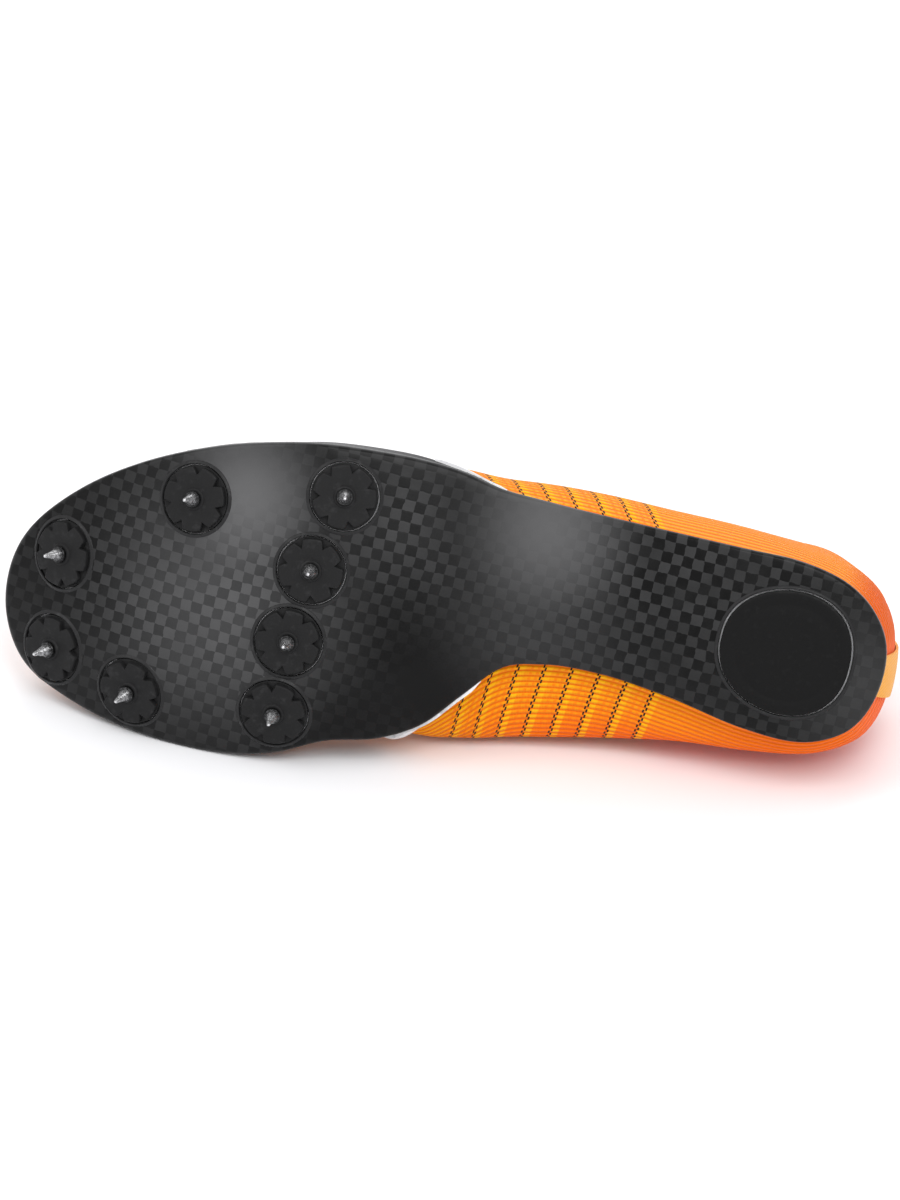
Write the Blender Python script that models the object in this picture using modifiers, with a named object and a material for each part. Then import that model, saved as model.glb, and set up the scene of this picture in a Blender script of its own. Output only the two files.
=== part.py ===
"""Track spike shoe for the left foot, a low-cut sprint model with a carbon sole plate.

It is modelled upright in its own frame, with +X to the toe, +Y to the lateral side and +Z up,
and its heel and ball on z = 0. It is then laid on its medial side, where it rests by itself.
"""
from math import cos, pi, radians, sin

import bmesh
import bpy
import numpy as np
from mathutils import Matrix, Vector

# Driving dimensions in metres: the last
SOLE_LENGTH = 0.284
BALL_WIDTH = 0.099
TOE_SPRING = 0.041
ARCH_RISE = 0.006
BOWL_RISE = 0.009
HEEL_HEIGHT = 0.068
INSTEP_HEIGHT = 0.078
WING_HEIGHT = 0.013

# Driving dimensions in metres: the layers, from the ground up
PLATE_THICKNESS = 0.0014
FOAM_THICKNESS = 0.0026
INSOLE_THICKNESS = 0.0025
UPPER_WALL = 0.0016
COLLAR_PADDING = 0.0016
TONGUE_THICKNESS = 0.0022
SEAT_GAP = 0.00035

# Driving dimensions in metres: pods, pins, heel pad, tongue, laces and heel tape
POD_DIAMETER = 0.0216
POD_PROUD = 0.0016
POD_NOTCH = 0.0022
BOSS_DIAMETER = 0.0066
BOSS_HEIGHT = 0.0005
PIN_DIAMETER = 0.0052
PIN_LENGTH = 0.0072
PIN_TIP_DIAMETER = 0.0011
SHANK_DIAMETER = 0.0034
SHANK_LENGTH = 0.0017
PAD_LENGTH = 0.0415
PAD_WIDTH = 0.0395
PAD_PROUD = 0.0004
PIN_FLANGE = 0.0009
TONGUE_HEM = 0.0015
TONGUE_FLAP = 0.009
TONGUE_RISE = 0.020
TONGUE_CROWN = 0.0005
EYELET_DIAMETER = 0.0042
EYELET_INSET = 0.0065
LACE_WIDTH = 0.0046
LACE_THICKNESS = 0.0013
TAPE_WIDTH = 0.013
TAPE_THICKNESS = 0.0008
TAPE_OUT = -0.0105
TAPE_FOOT = 0.0022
TAPE_HEAD = 0.0004

# Counts
STATIONS = 32
STRIPS = 7
WALL_ROWS = 2
RIB_ROWS = 12
EYELET_PAIRS = 6
POD_NOTCHES = 7
POD_SIDES = 14
PIN_SIDES = 8
PAD_SIDES = 24
EYELET_SIDES = 8
TONGUE_POINTS = 7
LACE_SPANS = 6
LACE_SIDES = 6
TAPE_ROWS = 9
TAPE_STEPS = 2

# The heel pad lies along the heel, turned with it
PAD_ALONG = 0.112
PAD_OUT = -0.010
PAD_TURN = radians(13)

# The pad's outline: how much wider its heel end is, and how square its sides are
PAD_TAPER = 0.06
PAD_SQUARE = 0.86

# Ribs that the tongue passes under, as shares of the sole's length, from its top to the vamp
TONGUE_ALONG = (0.41, 0.43, 0.47, 0.52, 0.57, 0.62, 0.67, 0.72)

# The tongue's front rows, under the vamp: the ribs of its flaps and edges, and how far each
# row has moved from the throat's edge to the flap's full depth
TONGUE_FRONT = ((0.76, 0.88, 0.0), (0.80, 0.91, 0.5), (0.84, 0.93, 1.0))

# The tongue's free top: rows as shares of its rise, its width beside the throat's, and its
# slope as a share along the tongue and a share upright
TONGUE_TOP = (1.0, 0.66, 0.33)
TONGUE_NARROWING = 0.66
TONGUE_SLOPE = (0.8, 0.6)

# Eyelets run between these shares of the sole's length, and the collar's padding fades
# out over a share of it behind the first one
FIRST_EYELET = 0.400
LAST_EYELET = 0.665
COLLAR_FADE = 0.12

# The padding sets in at this share of a rib, and is full after the next share of it
PADDING_START = 0.6
PADDING_SPAN = 0.3

# Handles of a rib's two curves: out and up from the foot, down from the widest line, as
# shares of reach and rise, and the lean in degrees over which its top turns across the shoe
FOOT_OUT = 0.42
FOOT_UP = 0.36
WIDE_DOWN = 0.45
LEAN_START = 15
LEAN_SPAN = 30

# Notches of a pod as shares of POD_NOTCH: centre beyond the rim, base and mouth radius, and
# their depth as a share of POD_PROUD
NOTCH_OUT = 0.15
NOTCH_BASE = 0.55
NOTCH_MOUTH = 0.80
NOTCH_DEPTH = 1.6

# The pin's cone as shares of PIN_DIAMETER and PIN_LENGTH
PIN_CONE = 0.42
PIN_WAIST = 0.21
PIN_WAIST_AT = 0.6

# Handle of a lace bar as a share of its span
LACE_BOW = 0.38

# Clearances at the sole's edge in seat gaps: from the plate's wall to the upper, and from the
# upper's wall to the insole
WALL_CLEARANCE = 2.8
INSOLE_CLEARANCE = 3.5

# Even angle at which the tongue's front end lies under the vamp
TONGUE_NOSE = 0.99

# A facet of the hull is on the medial side where its normal's Y is under this
MEDIAL_FACING = -0.9

# Steps for slopes, in metres and in even angle
SLOPE_STEP = 0.0015
ANGLE_STEP = 0.004

# Sole: along is a share of SOLE_LENGTH, lateral and medial of BALL_WIDTH, arch of ARCH_RISE,
# spring of TOE_SPRING, the bowls of BOWL_RISE, and the walls of WING_HEIGHT
SOLE_COLUMNS = ("along", "lateral", "medial", "arch", "spring", "bowl_lateral", "bowl_medial",
                "wall_lateral", "wall_medial")
SOLE_ROWS = [
    (0.000, -0.012, 0.012, 0.00, 0.090, 0.00, 0.00, 0.16, 0.16),
    (0.051, 0.224, 0.279, 0.00, 0.018, 0.12, 0.15, 0.16, 0.16),
    (0.096, 0.280, 0.304, 0.00, 0.000, 0.12, 0.17, 0.16, 0.16),
    (0.162, 0.321, 0.260, 0.05, 0.000, 0.12, 0.17, 0.16, 0.16),
    (0.252, 0.374, 0.159, 0.45, 0.000, 0.15, 0.22, 0.16, 0.16),
    (0.319, 0.414, 0.101, 0.80, 0.000, 0.15, 0.25, 0.16, 0.16),
    (0.386, 0.458, 0.074, 1.00, 0.000, 0.18, 0.30, 0.16, 0.16),
    (0.431, 0.493, 0.087, 0.95, 0.000, 0.20, 0.40, 0.20, 0.16),
    (0.476, 0.549, 0.179, 0.80, 0.000, 0.24, 0.60, 0.55, 0.16),
    (0.521, 0.587, 0.275, 0.55, 0.000, 0.26, 0.80, 0.82, 0.45),
    (0.565, 0.612, 0.318, 0.30, 0.000, 0.27, 0.92, 0.95, 0.95),
    (0.632, 0.638, 0.331, 0.00, 0.000, 0.30, 1.00, 1.00, 0.90),
    (0.683, 0.638, 0.369, 0.00, 0.022, 0.34, 1.00, 0.80, 0.45),
    (0.724, 0.629, 0.380, 0.00, 0.078, 0.36, 1.00, 0.55, 0.40),
    (0.771, 0.606, 0.372, 0.00, 0.160, 0.36, 1.00, 0.42, 0.40),
    (0.815, 0.573, 0.350, 0.00, 0.255, 0.36, 0.98, 0.42, 0.40),
    (0.885, 0.492, 0.290, 0.00, 0.468, 0.34, 0.80, 0.45, 0.42),
    (0.932, 0.408, 0.226, 0.00, 0.675, 0.28, 0.50, 0.50, 0.48),
    (0.979, 0.275, 0.125, 0.00, 0.900, 0.12, 0.20, 0.58, 0.56),
    (1.000, 0.068, -0.068, 0.00, 1.000, 0.00, 0.00, 0.60, 0.60),
]

# Upper: each row is a rib from the sole's edge over the last to the collar or the throat.
# along and top_along are shares of SOLE_LENGTH, reach and top_out of BALL_WIDTH, rise and
# instep of INSTEP_HEIGHT, heel of HEEL_HEIGHT, crown and sweep of the rib's upper span.
# reach and rise give the widest line from the sole's edge, lean is degrees from upright.
UPPER_COLUMNS = ("along", "reach", "rise", "top_along", "top_out", "heel", "instep", "lean",
                 "crown", "sweep")
LATERAL_ROWS = [
    (0.000, 0.046, 0.31, 0.012, -0.025, 1.00, 0.00, 2, 0.34, 0.30),
    (0.051, 0.042, 0.29, 0.042, 0.160, 0.93, 0.00, 5, 0.34, 0.30),
    (0.096, 0.038, 0.28, 0.082, 0.245, 0.82, 0.00, 8, 0.34, 0.30),
    (0.162, 0.056, 0.27, 0.155, 0.290, 0.74, 0.00, 12, 0.34, 0.30),
    (0.252, 0.061, 0.26, 0.240, 0.308, 0.55, 0.23, 18, 0.34, 0.30),
    (0.319, 0.064, 0.24, 0.304, 0.278, 0.25, 0.62, 30, 0.34, 0.30),
    (0.386, 0.053, 0.22, 0.352, 0.208, 0.00, 0.98, 46, 0.36, 0.32),
    (0.431, 0.037, 0.20, 0.402, 0.188, 0.00, 0.92, 50, 0.38, 0.34),
    (0.476, 0.015, 0.17, 0.448, 0.176, 0.00, 0.86, 52, 0.38, 0.34),
    (0.521, 0.008, 0.15, 0.494, 0.168, 0.00, 0.80, 54, 0.38, 0.34),
    (0.565, 0.004, 0.14, 0.536, 0.162, 0.00, 0.75, 56, 0.36, 0.34),
    (0.632, -0.002, 0.13, 0.596, 0.152, 0.00, 0.69, 60, 0.34, 0.34),
    (0.724, -0.012, 0.12, 0.636, 0.134, 0.00, 0.655, 68, 0.30, 0.36),
    (0.815, -0.014, 0.11, 0.652, 0.112, 0.00, 0.645, 80, 0.22, 0.40),
    (0.885, -0.012, 0.10, 0.658, 0.094, 0.00, 0.640, 88, 0.14, 0.42),
    (0.932, -0.010, 0.10, 0.661, 0.084, 0.00, 0.640, 91, 0.10, 0.44),
    (0.979, -0.006, 0.10, 0.662, 0.076, 0.00, 0.640, 92, 0.07, 0.45),
    (1.000, -0.005, 0.10, 0.662, 0.068, 0.00, 0.640, 93, 0.06, 0.45),
]
MEDIAL_ROWS = [
    (0.000, 0.046, 0.31, 0.012, 0.025, 1.00, 0.00, 2, 0.34, 0.30),
    (0.051, 0.090, 0.24, 0.042, 0.218, 0.93, 0.00, 3, 0.34, 0.30),
    (0.096, 0.096, 0.19, 0.082, 0.320, 0.83, 0.00, 4, 0.34, 0.30),
    (0.162, 0.130, 0.18, 0.155, 0.328, 0.76, 0.00, 5, 0.34, 0.30),
    (0.252, 0.207, 0.19, 0.240, 0.280, 0.57, 0.23, 14, 0.34, 0.30),
    (0.319, 0.270, 0.24, 0.304, 0.185, 0.25, 0.64, 25, 0.34, 0.30),
    (0.386, 0.300, 0.23, 0.352, 0.095, 0.00, 1.00, 42, 0.36, 0.32),
    (0.431, 0.289, 0.22, 0.402, 0.066, 0.00, 0.94, 46, 0.38, 0.34),
    (0.476, 0.198, 0.20, 0.448, 0.046, 0.00, 0.87, 50, 0.38, 0.34),
    (0.521, 0.096, 0.18, 0.494, 0.030, 0.00, 0.81, 52, 0.38, 0.34),
    (0.565, 0.032, 0.16, 0.536, 0.020, 0.00, 0.76, 54, 0.36, 0.34),
    (0.632, 0.002, 0.14, 0.596, 0.006, 0.00, 0.70, 58, 0.37, 0.34),
    (0.724, -0.014, 0.13, 0.636, -0.012, 0.00, 0.66, 65, 0.34, 0.36),
    (0.815, -0.010, 0.13, 0.652, -0.030, 0.00, 0.645, 77, 0.27, 0.40),
    (0.885, -0.006, 0.12, 0.658, -0.048, 0.00, 0.640, 86, 0.18, 0.42),
    (0.932, -0.008, 0.10, 0.661, -0.056, 0.00, 0.640, 90, 0.10, 0.44),
    (0.979, -0.006, 0.10, 0.662, -0.064, 0.00, 0.640, 92, 0.07, 0.45),
    (1.000, -0.005, 0.10, 0.662, -0.068, 0.00, 0.640, 93, 0.06, 0.45),
]

# Spike pods: along is a share of SOLE_LENGTH, out of BALL_WIDTH
POD_COLUMNS = ("along", "out")
POD_ROWS = [
    (0.928, 0.240),
    (0.942, -0.070),
    (0.850, -0.187),
    (0.773, 0.450),
    (0.604, 0.472),
    (0.641, 0.235),
    (0.667, 0.003),
    (0.6845, -0.232),
]

# Colour, roughness, metallic and density in kg per cubic metre
MATERIALS = {
    "carbon": ((0.055, 0.055, 0.058), 0.28, 0.0, 1500.0),
    "pod_rubber": ((0.022, 0.022, 0.024), 0.55, 0.0, 1200.0),
    "steel": ((0.62, 0.62, 0.63), 0.25, 1.0, 7800.0),
    "white_foam": ((0.85, 0.85, 0.84), 0.60, 0.0, 180.0),
    "orange_knit": ((0.95, 0.33, 0.03), 0.75, 0.0, 480.0),
    "yellow_tape": ((0.98, 0.62, 0.04), 0.60, 0.0, 700.0),
    "insole_cloth": ((0.10, 0.10, 0.11), 0.90, 0.0, 220.0),
    "lace_cloth": ((0.08, 0.08, 0.09), 0.85, 0.0, 600.0),
}

UP = np.array([0.0, 0.0, 1.0])


def clear_scene():
    """Remove whatever objects the open file holds."""
    for old in list(bpy.data.objects):
        bpy.data.objects.remove(old, do_unlink=True)


def collection(name):
    """Make a collection under the scene's own."""
    made = bpy.data.collections.new(name)
    bpy.context.scene.collection.children.link(made)
    return made


def material(name):
    """A Principled material from its row."""
    colour, roughness, metallic, _ = MATERIALS[name]
    made = bpy.data.materials.new(name)
    made.use_nodes = True
    shader = made.node_tree.nodes["Principled BSDF"]
    shader.inputs["Base Color"].default_value = (*colour, 1.0)
    shader.inputs["Roughness"].default_value = roughness
    shader.inputs["Metallic"].default_value = metallic
    return made


def even_angle(along):
    """Turn a share of the sole's length into an angle that is 0 at the heel and 1 at the toe."""
    return np.arccos(np.clip(1 - 2 * np.asarray(along, dtype=float), -1, 1)) / pi


def length_at(angle):
    """Distance from the heel at an even angle."""
    return SOLE_LENGTH * (1 - np.cos(pi * np.asarray(angle))) / 2


def smooth(at, knots, values, level_ends=False):
    """Read a smooth curve through the knots, level at both ends where its form is symmetric."""
    slopes = np.gradient(values, knots)
    if level_ends:
        slopes[0] = 0
        slopes[-1] = 0
    index = np.clip(np.searchsorted(knots, at, side="right") - 1, 0, len(knots) - 2)
    step = knots[index + 1] - knots[index]
    t = np.clip((at - knots[index]) / step, 0, 1)
    start = (1 + 2 * t) * (1 - t) ** 2 * values[index] + t * (1 - t) ** 2 * step * slopes[index]
    rise = values[index + 1]
    return start + t * t * (3 - 2 * t) * rise + t * t * (t - 1) * step * slopes[index + 1]


class Table:
    """Rows of named columns along the shoe."""

    def __init__(self, columns, rows):
        self.values = {name: np.array([row[i] for row in rows], dtype=float)
                       for i, name in enumerate(columns)}
        self.knots = even_angle(self.values["along"])

    def read(self, name, angle):
        """One column at an even angle."""
        level_ends = name not in ("lateral", "medial", "top_out")
        return smooth(np.asarray(angle, dtype=float), self.knots, self.values[name], level_ends)


SOLE = Table(SOLE_COLUMNS, SOLE_ROWS)
UPPER = {1: Table(UPPER_COLUMNS, LATERAL_ROWS), -1: Table(UPPER_COLUMNS, MEDIAL_ROWS)}
SIDE_NAME = {1: "lateral", -1: "medial"}


def edge_out(angle, side):
    """How far out the sole's edge lies, signed along Y."""
    return side * BALL_WIDTH * SOLE.read(SIDE_NAME[side], angle)


def underside(x, y):
    """Height of the sole plate's underside above the ground."""
    angle = even_angle(np.asarray(x) / SOLE_LENGTH)
    outer = edge_out(angle, 1)
    inner = edge_out(angle, -1)
    half = np.maximum((outer - inner) / 2, 0.001)
    across = (np.asarray(y) - (outer + inner) / 2) / half
    bowl = np.where(across > 0, SOLE.read("bowl_lateral", angle), SOLE.read("bowl_medial", angle))
    length_rise = ARCH_RISE * SOLE.read("arch", angle) + TOE_SPRING * SOLE.read("spring", angle)
    return length_rise + BOWL_RISE * bowl * np.minimum(np.abs(across), 1.0) ** 3


def sole_normal(x, y):
    """Upward unit normal of the underside."""
    step = SLOPE_STEP
    along = (underside(x + step, y) - underside(x - step, y)) / (2 * step)
    out = (underside(x, y + step) - underside(x, y - step)) / (2 * step)
    normal = np.stack([-along, -out, np.ones_like(along)], axis=-1)
    return normal / np.linalg.norm(normal, axis=-1, keepdims=True)


def on_sole(x, y, depth):
    """Points at a depth above the underside, measured along its normal."""
    x = np.asarray(x, dtype=float)
    y = np.asarray(y, dtype=float)
    base = np.stack([x, y, underside(x, y)], axis=-1)
    return base + depth * sole_normal(x, y)


def even_stations():
    """Even angles that space the stations evenly round the sole's edge."""
    dense = np.linspace(0, 1, 400)
    steps = 0
    for side in (1, -1):
        steps = steps + np.hypot(np.diff(length_at(dense)), np.diff(edge_out(dense, side)))
    travel = np.concatenate([[0], np.cumsum(steps)])
    return np.interp(np.linspace(0, travel[-1], STATIONS + 1), travel, dense)


ANGLES = even_stations()
RING = [(angle, 1) for angle in ANGLES] + [(angle, -1) for angle in ANGLES[-2:0:-1]]


def plan_normal(angle, side):
    """Outward unit normal of the sole's edge, seen from above."""
    points = []
    for at in (angle - side * ANGLE_STEP, angle + side * ANGLE_STEP):
        other = side if 0 <= at <= 1 else -side
        folded = abs(at) if at < 1 else 2 - at
        points.append((length_at(folded), edge_out(folded, other)))
    run = np.subtract(points[1], points[0])
    normal = np.array([-run[1], run[0], 0.0])
    return normal / np.linalg.norm(normal)


def outward(angle, side):
    """Level direction in which the upper swells: back at the heel, sideways, ahead at the toe."""
    turn = cos(pi * angle)
    along = -turn * abs(turn) ** 4
    return np.array([along, side * (1 - along * along) ** 0.5, 0.0])


def inset_point(angle, side, inset, depth):
    """Point a distance in from the sole's edge and above its underside."""
    edge = np.array([length_at(angle), edge_out(angle, side), 0.0])
    x, y, _ = edge - inset * plan_normal(angle, side)
    return on_sole(x, y, depth)


EDGE_SETBACK = PLATE_THICKNESS + WALL_CLEARANCE * SEAT_GAP
FOAM_DEPTH = PLATE_THICKNESS + SEAT_GAP
UPPER_DEPTH = FOAM_DEPTH + FOAM_THICKNESS + SEAT_GAP


def bezier(p0, p1, p2, p3, count):
    """Points of a cubic, both ends included."""
    t = np.linspace(0, 1, count)[:, None]
    return (1 - t) ** 3 * p0 + 3 * t * (1 - t) ** 2 * p1 + 3 * t * t * (1 - t) * p2 + t ** 3 * p3


def rib(angle, side):
    """Outer face of the upper along one rib, from the sole's edge to the top line."""
    table = UPPER[side]
    row = {name: float(table.read(name, angle)) for name in UPPER_COLUMNS}
    swell = outward(angle, side)
    foot = inset_point(angle, side, EDGE_SETBACK, UPPER_DEPTH)
    reach = swell * row["reach"] * BALL_WIDTH
    rise = UP * row["rise"] * INSTEP_HEIGHT
    wide = foot + reach + rise
    top_up = row["heel"] * HEEL_HEIGHT + row["instep"] * INSTEP_HEIGHT
    top = np.array([row["top_along"] * SOLE_LENGTH, side * row["top_out"] * BALL_WIDTH, top_up])
    span = np.linalg.norm(top - wide)
    away = (wide - top) * (1, 1, 0)
    away = away / np.linalg.norm(away)
    across = min(max((row["lean"] - LEAN_START) / LEAN_SPAN, 0), 1)
    away = away * across + swell * (1 - across)
    lean = radians(row["lean"])
    top_handle = top + row["sweep"] * span * (away * sin(lean) - UP * cos(lean))
    low_rows = RIB_ROWS // 3
    low = bezier(foot, foot + FOOT_OUT * reach + FOOT_UP * rise, wide - WIDE_DOWN * rise, wide,
                 low_rows + 1)
    high = bezier(wide, wide + UP * row["crown"] * span, top_handle, top,
                  RIB_ROWS - low_rows + 1)
    return np.concatenate([low, high[1:]])


def travelled(line):
    """Distance along a line of points, from its first."""
    return np.concatenate([[0], np.cumsum(np.linalg.norm(np.diff(line, axis=0), axis=1))])


def rib_at(angle, side, down):
    """Point of a rib at a distance down from the top line, and its outward normal."""
    found = []
    for at in (angle - ANGLE_STEP, angle, angle + ANGLE_STEP):
        line = rib(at, side)[::-1]
        travel = travelled(line)
        for reach in (down, down + SLOPE_STEP):
            found.append([np.interp(reach, travel, line[:, axis]) for axis in range(3)])
    found = np.array(found)
    normal = np.cross(found[4] - found[0], found[3] - found[2])
    x = found[2][0]
    inside = np.array([x, (edge_out(angle, 1) + edge_out(angle, -1)) / 2, HEEL_HEIGHT / 3])
    if np.dot(normal, found[2] - inside) < 0:
        normal = -normal
    return found[2], normal / np.linalg.norm(normal)


def rib_at_height(line, height):
    """Point of a rib where it reaches a height above its foot."""
    rises = line[:, 2] - line[0, 2]
    top = int(np.argmax(rises)) + 1
    return np.array([np.interp(height, rises[:top], line[:top, axis]) for axis in range(3)])


def mesh_object(name, points, faces, where, slot):
    """Make an object from points and faces."""
    mesh = bpy.data.meshes.new(name)
    mesh.from_pydata([tuple(map(float, point)) for point in points], [], faces)
    made = bpy.data.objects.new(name, mesh)
    where.objects.link(made)
    if slot:
        mesh.materials.append(slot)
    return made


def face_up(made):
    """Turn an open sheet so that its mean normal points up."""
    mesh = made.data
    mesh.update()
    if sum(face.normal.z * face.area for face in mesh.polygons) < 0:
        mesh.flip_normals()


def solidify(made, thickness, offset):
    """Give an open sheet its thickness."""
    shell = made.modifiers.new("thickness", "SOLIDIFY")
    shell.thickness = thickness
    shell.offset = offset
    shell.use_even_offset = True
    return shell


def cut(made, cutter):
    """Cut one object by another."""
    boolean = made.modifiers.new("cut_" + cutter.name, "BOOLEAN")
    boolean.operation = "DIFFERENCE"
    boolean.solver = "EXACT"
    boolean.object = cutter


def floor_sheet(ring_points, inset, depth):
    """Points and faces of a floor between the lateral and the medial edge."""
    points = list(ring_points)
    count = len(points)
    rows = [[0]]
    for station in range(1, STATIONS):
        lateral = station
        medial = count - station
        start = points[lateral]
        end = points[medial]
        row = [lateral]
        for strip in range(1, STRIPS):
            share = strip / STRIPS
            x = inset_plan(station, share, inset)
            row.append(len(points))
            points.append(on_sole(x[0], x[1], depth))
        row.append(medial)
        rows.append(row)
    rows.append([STATIONS])
    faces = []
    for near, far in zip(rows, rows[1:]):
        if len(near) == 1:
            faces += [(near[0], far[i + 1], far[i]) for i in range(len(far) - 1)]
        elif len(far) == 1:
            faces += [(near[i], near[i + 1], far[0]) for i in range(len(near) - 1)]
        else:
            faces += [(near[i], near[i + 1], far[i + 1], far[i]) for i in range(len(near) - 1)]
    return points, faces


def inset_plan(station, share, inset):
    """Plan point between the two inset edges of a station."""
    ends = []
    for side in (1, -1):
        angle = ANGLES[station]
        edge = np.array([length_at(angle), edge_out(angle, side)])
        ends.append(edge - inset * plan_normal(angle, side)[:2])
    return ends[0] * (1 - share) + ends[1] * share


def sole_layer(name, inset, depth, thickness, where, slot):
    """A sheet of the sole that follows its underside at a depth."""
    ring = [inset_point(angle, side, inset, depth) for angle, side in RING]
    points, faces = floor_sheet(ring, inset, depth)
    made = mesh_object(name, points, faces, where, slot)
    face_up(made)
    solidify(made, thickness, 1)
    return made


def wall_point(angle, side, height):
    """Outer face of the plate's side wall at a height above its edge."""
    edge = inset_point(angle, side, 0, 0)
    line = rib(angle, side)
    upper_foot = line[0, 2] - edge[2]
    if height <= upper_foot:
        return edge + UP * height
    beside = rib_at_height(line, height - upper_foot)
    before = rib_at_height(rib(max(angle - ANGLE_STEP, 0), side), height - upper_foot)
    after = rib_at_height(rib(min(angle + ANGLE_STEP, 1), side), height - upper_foot)
    above = rib_at_height(line, height - upper_foot + SLOPE_STEP)
    normal = np.cross(after - before, above - beside) * -side
    return beside + normal / np.linalg.norm(normal) * EDGE_SETBACK


def build_plate(where, slot):
    """The carbon plate, a tray whose side walls rise into two wings."""
    ring = [inset_point(angle, side, 0, 0) for angle, side in RING]
    points, faces = floor_sheet(ring, 0, 0)
    count = len(RING)
    lower = list(range(count))
    for row in range(1, WALL_ROWS + 1):
        upper_row = []
        for angle, side in RING:
            wall = WING_HEIGHT * SOLE.read("wall_" + SIDE_NAME[side], angle)
            upper_row.append(len(points))
            points.append(wall_point(angle, side, wall * row / WALL_ROWS))
        for i in range(count):
            j = (i + 1) % count
            faces.append((lower[i], lower[j], upper_row[j], upper_row[i]))
        lower = upper_row
    made = mesh_object("outsole_plate", points, faces, where, slot)
    face_up(made)
    solidify(made, PLATE_THICKNESS, 1)
    return made


def collar_share(along):
    """How much of the collar's padding the top line has, from 1 at the heel to 0 at the throat."""
    return min(max((FIRST_EYELET - along) / COLLAR_FADE, 0), 1)


def build_upper(where, slot):
    """The hollow upper, open at the collar, at the throat and underneath."""
    ribs = [rib(angle, side) for angle, side in RING]
    points = [point for line in ribs for point in line]
    per_rib = len(ribs[0])
    faces = []
    for i in range(len(ribs)):
        j = (i + 1) % len(ribs)
        for row in range(per_rib - 1):
            faces.append((i * per_rib + row, i * per_rib + row + 1,
                          j * per_rib + row + 1, j * per_rib + row))
    made = mesh_object("upper", points, faces, where, slot)
    padding = made.vertex_groups.new(name="padding")
    thin = UPPER_WALL / (UPPER_WALL + COLLAR_PADDING)
    for i, (angle, side) in enumerate(RING):
        behind = collar_share(length_at(angle) / SOLE_LENGTH)
        for row in range(per_rib):
            near_top = min(max((row / (per_rib - 1) - PADDING_START) / PADDING_SPAN, 0), 1)
            weight = thin + (1 - thin) * behind * near_top
            padding.add([i * per_rib + row], weight, "REPLACE")
    outward_faces(made)
    shell = solidify(made, UPPER_WALL + COLLAR_PADDING, -1)
    shell.vertex_group = padding.name
    return made


def outward_faces(made):
    """Turn the upper's sheet so that its faces point away from the foot."""
    mesh = made.data
    mesh.update()
    centre = sum((v.co for v in mesh.vertices), Vector()) / len(mesh.vertices)
    agree = sum((f.center - centre).dot(f.normal) * f.area for f in mesh.polygons)
    if agree < 0:
        mesh.flip_normals()


def across_points(row_points, count):
    """A smooth curve through a row of points, evenly read."""
    row_points = np.array(row_points)
    travel = travelled(row_points)
    at = np.linspace(0, travel[-1], count)
    return [np.array([smooth(a, travel, row_points[:, axis]) for axis in range(3)]) for a in at]


def under_upper(angle, side, down):
    """Point just inside the upper's inner face, where the tongue's outer face lies."""
    point, normal = rib_at(angle, side, down)
    wall = UPPER_WALL + COLLAR_PADDING * collar_share(length_at(angle) / SOLE_LENGTH)
    return point - normal * (wall + 2 * SEAT_GAP)


def build_tongue(where, slot):
    """The tongue, held under both sides of the throat and under the vamp."""
    rows = []
    for along in TONGUE_ALONG:
        angle = even_angle(along)
        edges = [under_upper(angle, side, TONGUE_HEM) for side in (1, -1)]
        flaps = [under_upper(angle, side, TONGUE_FLAP) for side in (1, -1)]
        middle = (edges[0] + edges[1]) / 2 + UP * TONGUE_CROWN
        rows.append([flaps[0], edges[0], middle, edges[1], flaps[1]])
    for flap_along, edge_along, reach in TONGUE_FRONT:
        down = TONGUE_HEM + (TONGUE_FLAP - TONGUE_HEM) * reach
        flaps = [under_upper(even_angle(flap_along), side, TONGUE_FLAP) for side in (1, -1)]
        edges = [under_upper(even_angle(edge_along), side, down) for side in (1, -1)]
        rows.append([flaps[0], edges[0], under_upper(TONGUE_NOSE, 1, down), edges[1], flaps[1]])
    back = rows[0][2] - rows[1][2]
    back = back / np.linalg.norm(back)
    rise = back * TONGUE_SLOPE[0] + UP * TONGUE_SLOPE[1]
    rise = rise / np.linalg.norm(rise)
    top_rows = []
    for share in TONGUE_TOP:
        middle = rows[0][2] + rise * TONGUE_RISE * share
        top_rows.append([middle + (point - rows[0][2]) * TONGUE_NARROWING for point in rows[0]])
    rows = top_rows + rows
    count = TONGUE_POINTS
    points = [point for row in rows for point in across_points(row, count)]
    faces = []
    for i in range(len(rows) - 1):
        for j in range(count - 1):
            a = i * count + j
            faces.append((a, a + 1, a + count + 1, a + count))
    made = mesh_object("tongue", points, faces, where, slot)
    face_up(made)
    solidify(made, TONGUE_THICKNESS, -1)
    return made


def turned_mesh(name, profile, steps):
    """A mesh turned about Z from a profile of radius and height."""
    mesh = bpy.data.meshes.new(name)
    points = [(radius, 0, height) for radius, height in profile]
    mesh.from_pydata(points, [(i, i + 1) for i in range(len(points) - 1)], [])
    made = bpy.data.objects.new(name, mesh)
    bpy.context.scene.collection.objects.link(made)
    screw = made.modifiers.new("turn", "SCREW")
    screw.axis = "Z"
    screw.steps = steps
    screw.render_steps = steps
    screw.use_merge_vertices = True
    screw.merge_threshold = 0.00005
    bpy.context.view_layer.update()
    depsgraph = bpy.context.evaluated_depsgraph_get()
    result = bpy.data.meshes.new_from_object(made.evaluated_get(depsgraph))
    bpy.data.objects.remove(made, do_unlink=True)
    close_mesh(result)
    return result


def close_mesh(mesh):
    """Weld coincident points and turn every face outward."""
    work = bmesh.new()
    work.from_mesh(mesh)
    bmesh.ops.remove_doubles(work, verts=work.verts, dist=0.00002)
    bmesh.ops.recalc_face_normals(work, faces=work.faces)
    if work.calc_volume(signed=True) < 0:
        bmesh.ops.reverse_faces(work, faces=work.faces)
    work.to_mesh(mesh)
    work.free()


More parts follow.
